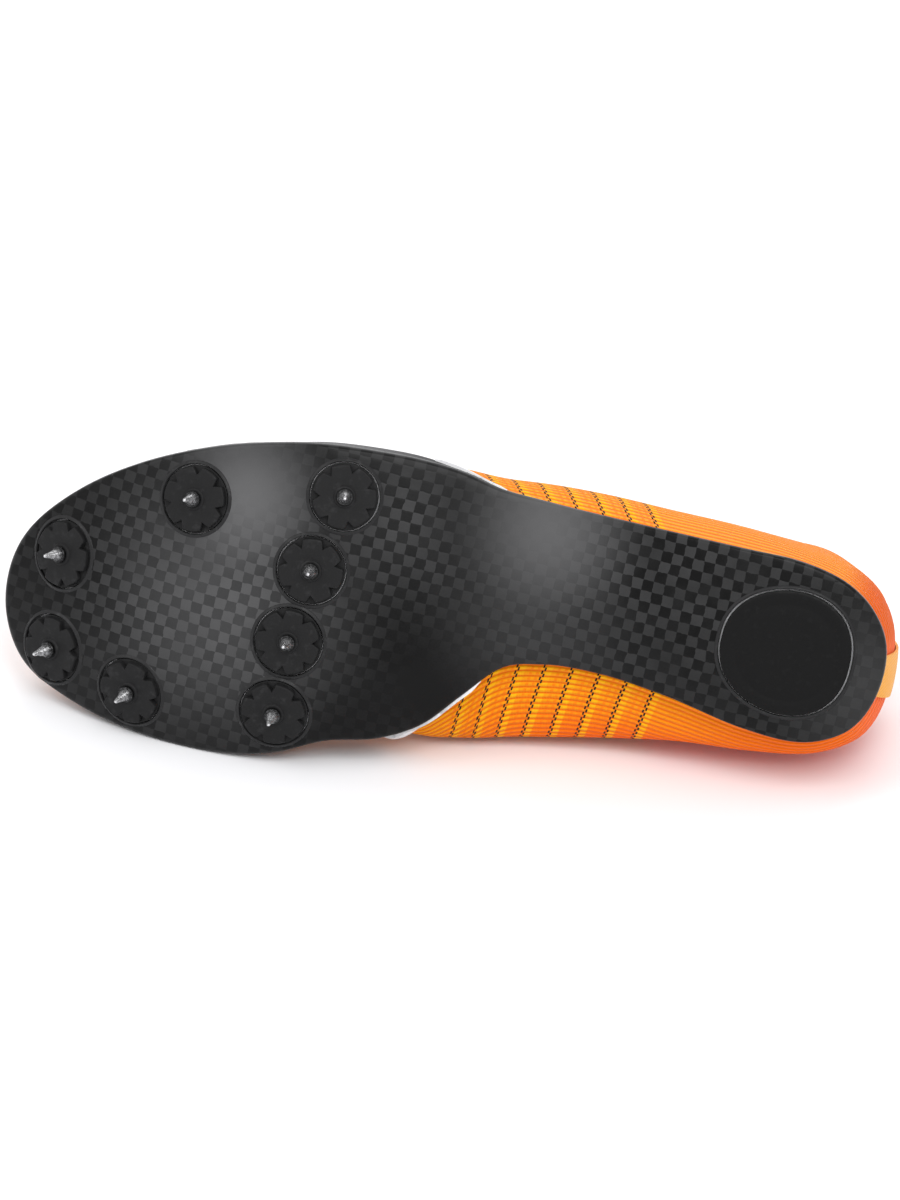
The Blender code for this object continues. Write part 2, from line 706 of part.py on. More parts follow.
def sole_frame(x, y):
    """Matrix whose origin is on the plate's underside and whose Z points out of it."""
    origin = on_sole(x, y, 0.0)
    down = Vector(-sole_normal(np.asarray(x), np.asarray(y)))
    along = Vector((1, 0, 0))
    across = down.cross(along).normalized()
    along = across.cross(down)
    turn = Matrix((along, across, down)).transposed().to_4x4()
    return Matrix.Translation(Vector(origin)) @ turn


def pod_frames():
    """Where each spike pod sits."""
    pods = Table(POD_COLUMNS, POD_ROWS).values
    return [sole_frame(along * SOLE_LENGTH, out * BALL_WIDTH)
            for along, out in zip(pods["along"], pods["out"])]


def notch_cutter(name, radius, where):
    """Small wedges round a pod's rim."""
    work = bmesh.new()
    for index in range(POD_NOTCHES):
        turn = Matrix.Rotation(2 * pi * index / POD_NOTCHES, 4, "Z")
        place = turn @ Matrix.Translation((radius + POD_NOTCH * NOTCH_OUT, 0, POD_PROUD))
        bmesh.ops.create_cone(work, cap_ends=True, segments=3, radius1=POD_NOTCH * NOTCH_BASE,
                              radius2=POD_NOTCH * NOTCH_MOUTH, depth=POD_PROUD * NOTCH_DEPTH,
                              matrix=place @ Matrix.Rotation(pi, 4, "Z"))
    mesh = bpy.data.meshes.new(name)
    work.to_mesh(mesh)
    work.free()
    made = bpy.data.objects.new(name, mesh)
    where.objects.link(made)
    hide_tool(made)
    return made


def hide_tool(made):
    """Mark a cutter as a construction aid."""
    made.hide_render = True
    made.display_type = "WIRE"


def pod_mesh(cutters):
    """One spike pod: a rubber disc with a notched rim, a boss and a blind bore."""
    radius = POD_DIAMETER / 2
    face = POD_PROUD
    top = face + BOSS_HEIGHT
    bore = SHANK_DIAMETER / 2 + SEAT_GAP
    depth = top - SHANK_LENGTH - SEAT_GAP
    profile = [(0, depth), (bore, depth), (bore, top), (BOSS_DIAMETER / 2, top),
               (BOSS_DIAMETER / 2, face), (radius, face), (radius, -PLATE_THICKNESS),
               (0, -PLATE_THICKNESS)]
    mesh = turned_mesh("spike_pod", profile, POD_SIDES)
    body = bpy.data.objects.new("spike_pod_blank", mesh)
    cutters.objects.link(body)
    cut(body, notch_cutter("pod_notches", radius, cutters))
    bpy.context.view_layer.update()
    depsgraph = bpy.context.evaluated_depsgraph_get()
    result = bpy.data.meshes.new_from_object(body.evaluated_get(depsgraph))
    bpy.data.objects.remove(body, do_unlink=True)
    close_mesh(result)
    return result


def pin_mesh():
    """One steel pin: a shank, a base and a cone with a blunt tip."""
    base = POD_PROUD + BOSS_HEIGHT + SEAT_GAP
    tip = base + PIN_LENGTH
    profile = [(0, base - SHANK_LENGTH), (SHANK_DIAMETER / 2, base - SHANK_LENGTH),
               (SHANK_DIAMETER / 2, base), (PIN_DIAMETER / 2, base),
               (PIN_DIAMETER / 2, base + PIN_FLANGE), (PIN_DIAMETER * PIN_CONE, base + PIN_FLANGE),
               (PIN_DIAMETER * PIN_WAIST, base + PIN_LENGTH * PIN_WAIST_AT),
               (PIN_TIP_DIAMETER / 2, tip), (0, tip)]
    return turned_mesh("spike_pin", profile, PIN_SIDES)


def egg_outline(length, width):
    """Points of the heel pad's rounded egg, its blunt end to the heel."""
    points = []
    for index in range(PAD_SIDES):
        angle = 2 * pi * index / PAD_SIDES
        taper = 1 - PAD_TAPER * cos(angle)
        squared = abs(sin(angle)) ** PAD_SQUARE * (1 if sin(angle) >= 0 else -1)
        points.append((length / 2 * cos(angle), width / 2 * squared * taper))
    return points


def egg_prism(name, length, width, low, high, where, slot):
    """A prism over the pad's outline."""
    outline = egg_outline(length, width)
    count = len(outline)
    points = [(x, y, low) for x, y in outline] + [(x, y, high) for x, y in outline]
    faces = [tuple(reversed(range(count))), tuple(range(count, 2 * count))]
    faces += [(i, (i + 1) % count, count + (i + 1) % count, count + i) for i in range(count)]
    return mesh_object(name, points, faces, where, slot)


def build_heel_pad(parts, cutters, slot):
    """The flat rubber pad under the heel and the cutter for its opening."""
    place = Matrix.Translation((PAD_ALONG * SOLE_LENGTH, PAD_OUT * BALL_WIDTH, 0))
    place = place @ Matrix.Rotation(PAD_TURN, 4, "Z")
    pad = egg_prism("heel_pad", PAD_LENGTH, PAD_WIDTH, -PAD_PROUD,
                    PLATE_THICKNESS - SEAT_GAP / 2, parts, slot)
    opening = egg_prism("heel_pad_opening", PAD_LENGTH + 2 * SEAT_GAP, PAD_WIDTH + 2 * SEAT_GAP,
                        -3 * PLATE_THICKNESS, 3 * PLATE_THICKNESS, cutters, None)
    hide_tool(opening)
    pad.matrix_world = place
    opening.matrix_world = place
    return pad, opening


def pod_openings(frames, where):
    """Round cutters through the plate, one for each pod."""
    work = bmesh.new()
    radius = POD_DIAMETER / 2 + SEAT_GAP
    for frame in frames:
        bmesh.ops.create_cone(work, cap_ends=True, segments=POD_SIDES, radius1=radius, radius2=radius,
                              depth=5 * PLATE_THICKNESS, matrix=frame)
    mesh = bpy.data.meshes.new("pod_openings")
    work.to_mesh(mesh)
    work.free()
    made = bpy.data.objects.new("pod_openings", mesh)
    where.objects.link(made)
    hide_tool(made)
    return made


def eyelets():
    """Centre and outward normal of each eyelet, lateral and medial in pairs."""
    alongs = np.linspace(FIRST_EYELET, LAST_EYELET, EYELET_PAIRS)
    return [[rib_at(even_angle(along), side, EYELET_INSET) for side in (1, -1)]
            for along in alongs]


def eyelet_cutters(pairs, where):
    """Small round cutters through the upper."""
    work = bmesh.new()
    for pair in pairs:
        for centre, normal in pair:
            turn = Vector(normal).to_track_quat("Z", "Y").to_matrix().to_4x4()
            bmesh.ops.create_cone(work, cap_ends=True, segments=EYELET_SIDES,
                                  radius1=EYELET_DIAMETER / 2, radius2=EYELET_DIAMETER / 2,
                                  depth=5 * UPPER_WALL,
                                  matrix=Matrix.Translation(Vector(centre)) @ turn)
    mesh = bpy.data.meshes.new("eyelet_cutters")
    work.to_mesh(mesh)
    work.free()
    made = bpy.data.objects.new("eyelet_cutters", mesh)
    where.objects.link(made)
    hide_tool(made)
    return made


def build_lace_bar(number, pair, where, slot):
    """A flat bar of lace from eyelet to eyelet over the throat."""
    clear = 2 * SEAT_GAP + LACE_THICKNESS / 2
    ends = [centre + normal * clear for centre, normal in pair]
    lifts = [normal for _, normal in pair]
    span = np.linalg.norm(ends[1] - ends[0])
    handles = []
    for end, lift, other in ((ends[0], lifts[0], ends[1]), (ends[1], lifts[1], ends[0])):
        toward = other - end
        toward = toward - lift * np.dot(toward, lift)
        handles.append(end + toward / np.linalg.norm(toward) * span * LACE_BOW)
    spans = LACE_SPANS
    sides = LACE_SIDES
    centre_line = bezier(ends[0], handles[0], handles[1], ends[1], spans + 1)
    points = []
    for i, centre in enumerate(centre_line):
        ahead = centre_line[min(i + 1, spans)] - centre_line[max(i - 1, 0)]
        share = i / spans
        lift = lifts[0] * (1 - share) + lifts[1] * share
        wide = np.cross(ahead, lift)
        wide = wide / np.linalg.norm(wide)
        lift = np.cross(wide, ahead)
        lift = lift / np.linalg.norm(lift)
        for side in range(sides):
            angle = 2 * pi * (side + 0.5) / sides
            points.append(centre + wide * LACE_WIDTH / 2 * cos(angle)
                          + lift * LACE_THICKNESS / 2 * sin(angle))
    faces = [tuple(range(sides)), tuple(reversed(range(spans * sides, (spans + 1) * sides)))]
    for i in range(spans):
        for side in range(sides):
            a = i * sides + side
            b = i * sides + (side + 1) % sides
            faces.append((a, a + sides, b + sides, b))
    made = mesh_object(f"lace_bar_{number}", points, faces, where, slot)
    close_mesh(made.data)
    return made


def build_heel_tape(where, slot):
    """The tape up the back of the heel, a strip over the upper's own form."""
    rows = TAPE_ROWS
    lifted = SEAT_GAP + TAPE_THICKNESS / 2
    near_heel = np.linspace(ANGLE_STEP, ANGLES[STATIONS // 4], 4 * STATIONS)
    columns = []
    for out in TAPE_OUT + np.linspace(-1, 1, 2 * TAPE_STEPS + 1) * TAPE_WIDTH / 2:
        side = 1 if out >= 0 else -1
        reach = np.hypot(length_at(near_heel), edge_out(near_heel, side))
        line = rib(float(np.interp(abs(out), reach, near_heel)), side)
        travel = travelled(line)
        at = np.linspace(TAPE_FOOT, travel[-1] - TAPE_HEAD, rows)
        columns.append([[np.interp(a, travel, line[:, axis]) for axis in range(3)] for a in at])
    grid = np.array(columns)
    points = []
    for i in range(len(columns)):
        for j in range(rows):
            along = grid[min(i + 1, len(columns) - 1), j] - grid[max(i - 1, 0), j]
            up = grid[i, min(j + 1, rows - 1)] - grid[i, max(j - 1, 0)]
            normal = np.cross(up, along)
            normal = normal / np.linalg.norm(normal)
            if normal[0] > 0:
                normal = -normal
            points.append(grid[i, j] + normal * lifted)
    faces = [(i * rows + j, i * rows + j + 1, (i + 1) * rows + j + 1, (i + 1) * rows + j)
             for i in range(len(columns) - 1) for j in range(rows - 1)]
    made = mesh_object("heel_tape", points, faces, where, slot)
    solidify(made, TAPE_THICKNESS, 0)
    return made


def world_mesh(made, depsgraph):
    """Triangles of an evaluated object in world space."""
    shown = made.evaluated_get(depsgraph)
    mesh = shown.to_mesh()
    mesh.calc_loop_triangles()
    points = np.array([made.matrix_world @ vertex.co for vertex in mesh.vertices])
    triangles = np.array([tuple(triangle.vertices) for triangle in mesh.loop_triangles])
    shown.to_mesh_clear()
    return points, triangles


def weigh(parts):
    """Every point of the shoe, its mass and its centre of mass."""
    depsgraph = bpy.context.evaluated_depsgraph_get()
    cloud = []
    mass = 0.0
    moment = np.zeros(3)
    for made in parts.objects:
        if made.type != "MESH":
            continue
        points, triangles = world_mesh(made, depsgraph)
        a, b, c = (points[triangles[:, i]] for i in range(3))
        volumes = np.einsum("ij,ij->i", a, np.cross(b, c)) / 6
        density = MATERIALS[made.data.materials[0].name][3]
        mass += density * volumes.sum()
        moment += density * (volumes[:, None] * (a + b + c) / 4).sum(axis=0)
        cloud.append(points)
    return np.concatenate(cloud), mass, moment / mass


def resting_facet(cloud, centre):
    """Normal of the medial hull facet on which the centre of mass rests most safely."""
    work = bmesh.new()
    for point in cloud:
        work.verts.new(point)
    hull = bmesh.ops.convex_hull(work, input=work.verts)
    best = None
    widest = 0.0
    for face in hull["geom"]:
        if not isinstance(face, bmesh.types.BMFace):
            continue
        face.normal_update()
        normal = np.array(face.normal)
        corners = np.array([vertex.co for vertex in face.verts])
        if np.dot(normal, corners[0] - centre) < 0:
            normal = -normal
        foot = centre + normal * np.dot(normal, corners[0] - centre)
        if normal[1] > MEDIAL_FACING:
            continue
        margins = []
        for i in range(3):
            edge = corners[(i + 1) % 3] - corners[i]
            turn = np.dot(normal, np.cross(edge, foot - corners[i]))
            margins.append(turn / np.linalg.norm(edge))
        margin = max(min(margins), -max(margins))
        if margin > widest:
            widest = margin
            best = normal
    work.free()
    return Vector(best)


def lay_down(parts, cutters):
    """Turn the upright shoe on to its medial side, its lowest points on the ground."""
    bpy.context.view_layer.update()
    cloud, mass, centre = weigh(parts)
    down = resting_facet(cloud, centre)
    up = -down
    toe = Vector((1, 0, 0))
    toe = (toe - up * toe.dot(up)).normalized()
    depth = up.cross(-toe)
    turn = Matrix((-toe, depth, up))
    turned = cloud @ np.array(turn).T
    low = turned.min(axis=0)
    high = turned.max(axis=0)
    middle = (low + high) / 2
    shift = Matrix.Translation((-middle[0], -middle[1], -low[2]))
    lying = bpy.data.objects.new("lying_on_medial_side", None)
    parts.objects.link(lying)
    lying.matrix_world = shift @ turn.to_4x4()
    for made in list(parts.objects) + list(cutters.objects):
        if made.type == "MESH":
            upright = made.matrix_world.copy()
            made.parent = lying
            made.matrix_basis = upright
    return mass, centre


def main():
    """Build every piece, cut the openings and lay the shoe down."""
    clear_scene()
    parts = collection("track_spike_shoe")
    cutters = collection("cutters")
    slots = {name: material(name) for name in MATERIALS}

    plate = build_plate(parts, slots["carbon"])
    sole_layer("foam_layer", EDGE_SETBACK, FOAM_DEPTH, FOAM_THICKNESS, parts,
               slots["white_foam"])
    insole_inset = EDGE_SETBACK + UPPER_WALL + INSOLE_CLEARANCE * SEAT_GAP
    sole_layer("insole", insole_inset, UPPER_DEPTH + SEAT_GAP / 2, INSOLE_THICKNESS, parts,
               slots["insole_cloth"])

    upper = build_upper(parts, slots["orange_knit"])
    pairs = eyelets()
    cut(upper, eyelet_cutters(pairs, cutters))
    build_tongue(parts, slots["orange_knit"])
    build_heel_tape(parts, slots["yellow_tape"])
    for number, pair in enumerate(pairs, 1):
        build_lace_bar(number, pair, parts, slots["lace_cloth"])

    frames = pod_frames()
    cut(plate, pod_openings(frames, cutters))
    pad, opening = build_heel_pad(parts, cutters, slots["pod_rubber"])
    cut(plate, opening)
    pod = pod_mesh(cutters)
    pod.materials.append(slots["pod_rubber"])
    pin = pin_mesh()
    pin.materials.append(slots["steel"])
    for number, frame in enumerate(frames, 1):
        for name, mesh in (("spike_pod", pod), ("spike_pin", pin)):
            made = bpy.data.objects.new(f"{name}_{number}", mesh)
            parts.objects.link(made)
            made.matrix_world = frame

    mass, centre = lay_down(parts, cutters)
    print(f"mass {mass:.3f} kg, centre of mass {np.round(centre * 1000, 1)} mm when upright")


main()
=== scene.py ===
"""Looks of the track spike shoe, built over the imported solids.

Every piece is made in the shoe's own upright frame, +X to the toe, +Y lateral and +Z up, and is
then laid on the shoe's medial side as the solids are.
"""
from functools import cache
from math import cos, pi, radians, sin

import bmesh
import bpy
import numpy as np
from mathutils import Matrix, Vector


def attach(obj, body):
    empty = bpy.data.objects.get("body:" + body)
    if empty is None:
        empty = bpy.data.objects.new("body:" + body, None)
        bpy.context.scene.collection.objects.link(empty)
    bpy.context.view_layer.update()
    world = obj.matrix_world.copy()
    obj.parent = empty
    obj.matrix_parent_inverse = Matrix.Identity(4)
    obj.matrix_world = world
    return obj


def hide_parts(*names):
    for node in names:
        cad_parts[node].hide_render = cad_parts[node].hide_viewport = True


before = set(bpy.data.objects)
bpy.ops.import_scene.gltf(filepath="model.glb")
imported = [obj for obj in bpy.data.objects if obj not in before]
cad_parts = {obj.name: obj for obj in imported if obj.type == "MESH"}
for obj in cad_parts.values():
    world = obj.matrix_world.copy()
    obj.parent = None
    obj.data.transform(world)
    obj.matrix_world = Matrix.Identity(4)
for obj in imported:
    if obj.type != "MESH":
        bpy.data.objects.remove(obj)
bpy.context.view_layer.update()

# Turn and shift from the upright frame to the lying one, in metres
LYING = Matrix((
    (-0.9985898733, -0.0493162312, 0.0196503550, 0.1402101219),
    (0.0, 0.3701539934, 0.9289703965, -0.0363308489),
    (-0.0530869775, 0.9276604652, -0.3696320355, 0.0521931686),
    (0.0, 0.0, 0.0, 1.0),
))

# Driving dimensions in metres: the shoe's form
SOLE_LENGTH = 0.284
BALL_WIDTH = 0.099
TOE_SPRING = 0.041
ARCH_RISE = 0.006
BOWL_RISE = 0.009
HEEL_HEIGHT = 0.068
INSTEP_HEIGHT = 0.078
WING_HEIGHT = 0.013

# Driving dimensions in metres: the layers, from the ground up
PLATE_THICKNESS = 0.0014
FOAM_THICKNESS = 0.0026
INSOLE_THICKNESS = 0.0025
UPPER_WALL = 0.0016
COLLAR_PADDING = 0.0016
TONGUE_THICKNESS = 0.0022
SEAT_GAP = 0.00035

# Driving dimensions in metres: pods, pins, heel pad, tongue, laces and heel tape
POD_DIAMETER = 0.0216
POD_PROUD = 0.0016
BOSS_HEIGHT = 0.0005
PIN_DIAMETER = 0.0052
PIN_LENGTH = 0.0072
PIN_TIP_DIAMETER = 0.0011
SHANK_DIAMETER = 0.0034
SHANK_LENGTH = 0.0017
PAD_LENGTH = 0.0415
PAD_WIDTH = 0.0395
PIN_FLANGE = 0.0009
TONGUE_HEM = 0.0015
TONGUE_FLAP = 0.009
TONGUE_RISE = 0.020
TONGUE_CROWN = 0.0005
EYELET_DIAMETER = 0.0042
EYELET_INSET = 0.0065
LACE_WIDTH = 0.0046
LACE_THICKNESS = 0.0013
TAPE_WIDTH = 0.013
TAPE_THICKNESS = 0.0008
TAPE_OUT = -0.0105
TAPE_FOOT = 0.0022
TAPE_HEAD = 0.0004

# Counts, finer than the solids
STATIONS = 150
STRIPS = 40
WALL_ROWS = 8
RIB_ROWS = 36
EYELET_PAIRS = 6
PAD_SIDES = 96
LIP_SIDES = 96
POD_SIDES = 168
OPENING_SIDES = 64
PIN_SIDES = 48
EYELET_SIDES = 24
RING_POINTS = 36
BAR_POINTS = 25
STRIP_STEPS = 46
TONGUE_POINTS = 7
TAPE_ROWS = 40

# The heel pad lies along the heel, turned with it
PAD_ALONG = 0.112
PAD_OUT = -0.010
PAD_TURN = radians(13)

# The pad's outline: how much wider its heel end is, and how square its sides are
PAD_TAPER = 0.06
PAD_SQUARE = 0.86

# Ribs that the tongue passes under, as shares of the sole's length, from its top to the vamp
TONGUE_ALONG = (0.41, 0.43, 0.47, 0.52, 0.57, 0.62, 0.67, 0.72)

# The tongue's front rows, under the vamp: the ribs of its flaps and edges, and how far each
# row has moved from the throat's edge to the flap's full depth
TONGUE_FRONT = ((0.76, 0.88, 0.0), (0.80, 0.91, 0.5), (0.84, 0.93, 1.0))

# The tongue's free top: rows as shares of its rise, its width beside the throat's, and its
# slope as a share along the tongue and a share upright
TONGUE_TOP = (1.0, 0.66, 0.33)
TONGUE_NARROWING = 0.66
TONGUE_SLOPE = (0.8, 0.6)

# Eyelets run between these shares of the sole's length, and the collar's padding fades
# out over a share of it behind the first one
FIRST_EYELET = 0.400
LAST_EYELET = 0.665
COLLAR_FADE = 0.12

# The padding sets in at this share of a rib, and is full after the next share of it
PADDING_START = 0.6
PADDING_SPAN = 0.3

# Handles of a rib's two curves: out and up from the foot, down from the widest line, as
# shares of reach and rise, and the lean in degrees over which its top turns across the shoe
FOOT_OUT = 0.42
FOOT_UP = 0.36
WIDE_DOWN = 0.45
LEAN_START = 15
LEAN_SPAN = 30

# Clearances at the sole's edge in seat gaps: from the plate's wall to the upper, and from the
# upper's wall to the insole
WALL_CLEARANCE = 2.8
INSOLE_CLEARANCE = 3.5

# Even angle at which the tongue's front end lies under the vamp
TONGUE_NOSE = 0.99

# Steps for slopes, in metres and in even angle
SLOPE_STEP = 0.0015
ANGLE_STEP = 0.004

# Sole: along is a share of SOLE_LENGTH, lateral and medial of BALL_WIDTH, arch of ARCH_RISE,
# spring of TOE_SPRING, the bowls of BOWL_RISE, and the walls of WING_HEIGHT
SOLE_COLUMNS = ("along", "lateral", "medial", "arch", "spring", "bowl_lateral", "bowl_medial",
                "wall_lateral", "wall_medial")
SOLE_ROWS = [
    (0.000, -0.012, 0.012, 0.00, 0.090, 0.00, 0.00, 0.16, 0.16),
    (0.051, 0.224, 0.279, 0.00, 0.018, 0.12, 0.15, 0.16, 0.16),
    (0.096, 0.280, 0.304, 0.00, 0.000, 0.12, 0.17, 0.16, 0.16),
    (0.162, 0.321, 0.260, 0.05, 0.000, 0.12, 0.17, 0.16, 0.16),
    (0.252, 0.374, 0.159, 0.45, 0.000, 0.15, 0.22, 0.16, 0.16),
    (0.319, 0.414, 0.101, 0.80, 0.000, 0.15, 0.25, 0.16, 0.16),
    (0.386, 0.458, 0.074, 1.00, 0.000, 0.18, 0.30, 0.16, 0.16),
    (0.431, 0.493, 0.087, 0.95, 0.000, 0.20, 0.40, 0.20, 0.16),
    (0.476, 0.549, 0.179, 0.80, 0.000, 0.24, 0.60, 0.55, 0.16),
    (0.521, 0.587, 0.275, 0.55, 0.000, 0.26, 0.80, 0.82, 0.45),
    (0.565, 0.612, 0.318, 0.30, 0.000, 0.27, 0.92, 0.95, 0.95),
    (0.632, 0.638, 0.331, 0.00, 0.000, 0.30, 1.00, 1.00, 0.90),
    (0.683, 0.638, 0.369, 0.00, 0.022, 0.34, 1.00, 0.80, 0.45),
    (0.724, 0.629, 0.380, 0.00, 0.078, 0.36, 1.00, 0.55, 0.40),
    (0.771, 0.606, 0.372, 0.00, 0.160, 0.36, 1.00, 0.42, 0.40),
    (0.815, 0.573, 0.350, 0.00, 0.255, 0.36, 0.98, 0.42, 0.40),
    (0.885, 0.492, 0.290, 0.00, 0.468, 0.34, 0.80, 0.45, 0.42),
    (0.932, 0.408, 0.226, 0.00, 0.675, 0.28, 0.50, 0.50, 0.48),
    (0.979, 0.275, 0.125, 0.00, 0.900, 0.12, 0.20, 0.58, 0.56),
    (1.000, 0.068, -0.068, 0.00, 1.000, 0.00, 0.00, 0.60, 0.60),
]

# Upper: each row is a rib from the sole's edge over the last to the collar or the throat.
# along and top_along are shares of SOLE_LENGTH, reach and top_out of BALL_WIDTH, rise and
# instep of INSTEP_HEIGHT, heel of HEEL_HEIGHT, crown and sweep of the rib's upper span.
# reach and rise give the widest line from the sole's edge, lean is degrees from upright.
UPPER_COLUMNS = ("along", "reach", "rise", "top_along", "top_out", "heel", "instep", "lean",
                 "crown", "sweep")
LATERAL_ROWS = [
    (0.000, 0.046, 0.31, 0.012, -0.025, 1.00, 0.00, 2, 0.34, 0.30),
    (0.051, 0.042, 0.29, 0.042, 0.160, 0.93, 0.00, 5, 0.34, 0.30),
    (0.096, 0.038, 0.28, 0.082, 0.245, 0.82, 0.00, 8, 0.34, 0.30),
    (0.162, 0.056, 0.27, 0.155, 0.290, 0.74, 0.00, 12, 0.34, 0.30),
    (0.252, 0.061, 0.26, 0.240, 0.308, 0.55, 0.23, 18, 0.34, 0.30),
    (0.319, 0.064, 0.24, 0.304, 0.278, 0.25, 0.62, 30, 0.34, 0.30),
    (0.386, 0.053, 0.22, 0.352, 0.208, 0.00, 0.98, 46, 0.36, 0.32),
    (0.431, 0.037, 0.20, 0.402, 0.188, 0.00, 0.92, 50, 0.38, 0.34),
    (0.476, 0.015, 0.17, 0.448, 0.176, 0.00, 0.86, 52, 0.38, 0.34),
    (0.521, 0.008, 0.15, 0.494, 0.168, 0.00, 0.80, 54, 0.38, 0.34),
    (0.565, 0.004, 0.14, 0.536, 0.162, 0.00, 0.75, 56, 0.36, 0.34),
    (0.632, -0.002, 0.13, 0.596, 0.152, 0.00, 0.69, 60, 0.34, 0.34),
    (0.724, -0.012, 0.12, 0.636, 0.134, 0.00, 0.655, 68, 0.30, 0.36),
    (0.815, -0.014, 0.11, 0.652, 0.112, 0.00, 0.645, 80, 0.22, 0.40),
    (0.885, -0.012, 0.10, 0.658, 0.094, 0.00, 0.640, 88, 0.14, 0.42),
    (0.932, -0.010, 0.10, 0.661, 0.084, 0.00, 0.640, 91, 0.10, 0.44),
    (0.979, -0.006, 0.10, 0.662, 0.076, 0.00, 0.640, 92, 0.07, 0.45),
    (1.000, -0.005, 0.10, 0.662, 0.068, 0.00, 0.640, 93, 0.06, 0.45),
]
MEDIAL_ROWS = [
    (0.000, 0.046, 0.31, 0.012, 0.025, 1.00, 0.00, 2, 0.34, 0.30),
    (0.051, 0.090, 0.24, 0.042, 0.218, 0.93, 0.00, 3, 0.34, 0.30),
    (0.096, 0.096, 0.19, 0.082, 0.320, 0.83, 0.00, 4, 0.34, 0.30),
    (0.162, 0.130, 0.18, 0.155, 0.328, 0.76, 0.00, 5, 0.34, 0.30),
    (0.252, 0.207, 0.19, 0.240, 0.280, 0.57, 0.23, 14, 0.34, 0.30),
    (0.319, 0.270, 0.24, 0.304, 0.185, 0.25, 0.64, 25, 0.34, 0.30),
    (0.386, 0.300, 0.23, 0.352, 0.095, 0.00, 1.00, 42, 0.36, 0.32),
    (0.431, 0.289, 0.22, 0.402, 0.066, 0.00, 0.94, 46, 0.38, 0.34),
    (0.476, 0.198, 0.20, 0.448, 0.046, 0.00, 0.87, 50, 0.38, 0.34),
    (0.521, 0.096, 0.18, 0.494, 0.030, 0.00, 0.81, 52, 0.38, 0.34),
    (0.565, 0.032, 0.16, 0.536, 0.020, 0.00, 0.76, 54, 0.36, 0.34),
    (0.632, 0.002, 0.14, 0.596, 0.006, 0.00, 0.70, 58, 0.37, 0.34),
    (0.724, -0.014, 0.13, 0.636, -0.012, 0.00, 0.66, 65, 0.34, 0.36),
    (0.815, -0.010, 0.13, 0.652, -0.030, 0.00, 0.645, 77, 0.27, 0.40),
    (0.885, -0.006, 0.12, 0.658, -0.048, 0.00, 0.640, 86, 0.18, 0.42),
    (0.932, -0.008, 0.10, 0.661, -0.056, 0.00, 0.640, 90, 0.10, 0.44),
    (0.979, -0.006, 0.10, 0.662, -0.064, 0.00, 0.640, 92, 0.07, 0.45),
    (1.000, -0.005, 0.10, 0.662, -0.068, 0.00, 0.640, 93, 0.06, 0.45),
]

# Spike pods: along is a share of SOLE_LENGTH, out of BALL_WIDTH
POD_ROWS = [
    (0.928, 0.240),
    (0.942, -0.070),
    (0.850, -0.187),
    (0.773, 0.450),
    (0.604, 0.472),
    (0.641, 0.235),
    (0.667, 0.003),
    (0.6845, -0.232),
]

UP = np.array([0.0, 0.0, 1.0])


def unit(vector):
    """A vector at length 1."""
    return vector / np.linalg.norm(vector)


def even_angle(along):
    """Turn a share of the sole's length into an angle that is 0 at the heel and 1 at the toe."""
    return np.arccos(np.clip(1 - 2 * np.asarray(along, dtype=float), -1, 1)) / pi


def length_at(angle):
    """Distance from the heel at an even angle."""
    return SOLE_LENGTH * (1 - np.cos(pi * np.asarray(angle))) / 2


def knot_slopes(knots, values, level_ends=False):
    """Slopes of a curve at its knots, level at both ends where its form is symmetric."""
    slopes = np.gradient(values, knots)
    if level_ends:
        slopes[0] = 0
        slopes[-1] = 0
    return slopes


def smooth(at, knots, values, slopes):
    """Read a smooth curve through the knots."""
    index = np.clip(np.searchsorted(knots, at, side="right") - 1, 0, len(knots) - 2)
    step = knots[index + 1] - knots[index]
    t = np.clip((at - knots[index]) / step, 0, 1)
    start = (1 + 2 * t) * (1 - t) ** 2 * values[index] + t * (1 - t) ** 2 * step * slopes[index]
    rise = values[index + 1]
    return start + t * t * (3 - 2 * t) * rise + t * t * (t - 1) * step * slopes[index + 1]


# Columns that change sign at the ends of the shoe
LOOSE_ENDS = ("lateral", "medial", "top_out")


class Table:
    """Rows of named columns along the shoe."""

    def __init__(self, columns, rows):
        self.values = {name: np.array([row[i] for row in rows], dtype=float)
                       for i, name in enumerate(columns)}
        self.knots = even_angle(self.values["along"])
        self.slopes = {name: knot_slopes(self.knots, column, name not in LOOSE_ENDS)
                       for name, column in self.values.items()}

    def read(self, name, angle):
        """One column at an even angle."""
        return smooth(np.asarray(angle, dtype=float), self.knots, self.values[name],
                      self.slopes[name])


SOLE = Table(SOLE_COLUMNS, SOLE_ROWS)
UPPER = {1: Table(UPPER_COLUMNS, LATERAL_ROWS), -1: Table(UPPER_COLUMNS, MEDIAL_ROWS)}
SIDE_NAME = {1: "lateral", -1: "medial"}


def edge_out(angle, side):
    """How far out the sole's edge lies, signed along Y."""
    return side * BALL_WIDTH * SOLE.read(SIDE_NAME[side], angle)


def underside(x, y):
    """Height of the sole plate's underside above the ground."""
    angle = even_angle(np.asarray(x) / SOLE_LENGTH)
    outer = edge_out(angle, 1)
    inner = edge_out(angle, -1)
    half = np.maximum((outer - inner) / 2, 0.001)
    across = (np.asarray(y) - (outer + inner) / 2) / half
    bowl = np.where(across > 0, SOLE.read("bowl_lateral", angle), SOLE.read("bowl_medial", angle))
    length_rise = ARCH_RISE * SOLE.read("arch", angle) + TOE_SPRING * SOLE.read("spring", angle)
    return length_rise + BOWL_RISE * bowl * np.minimum(np.abs(across), 1.0) ** 3


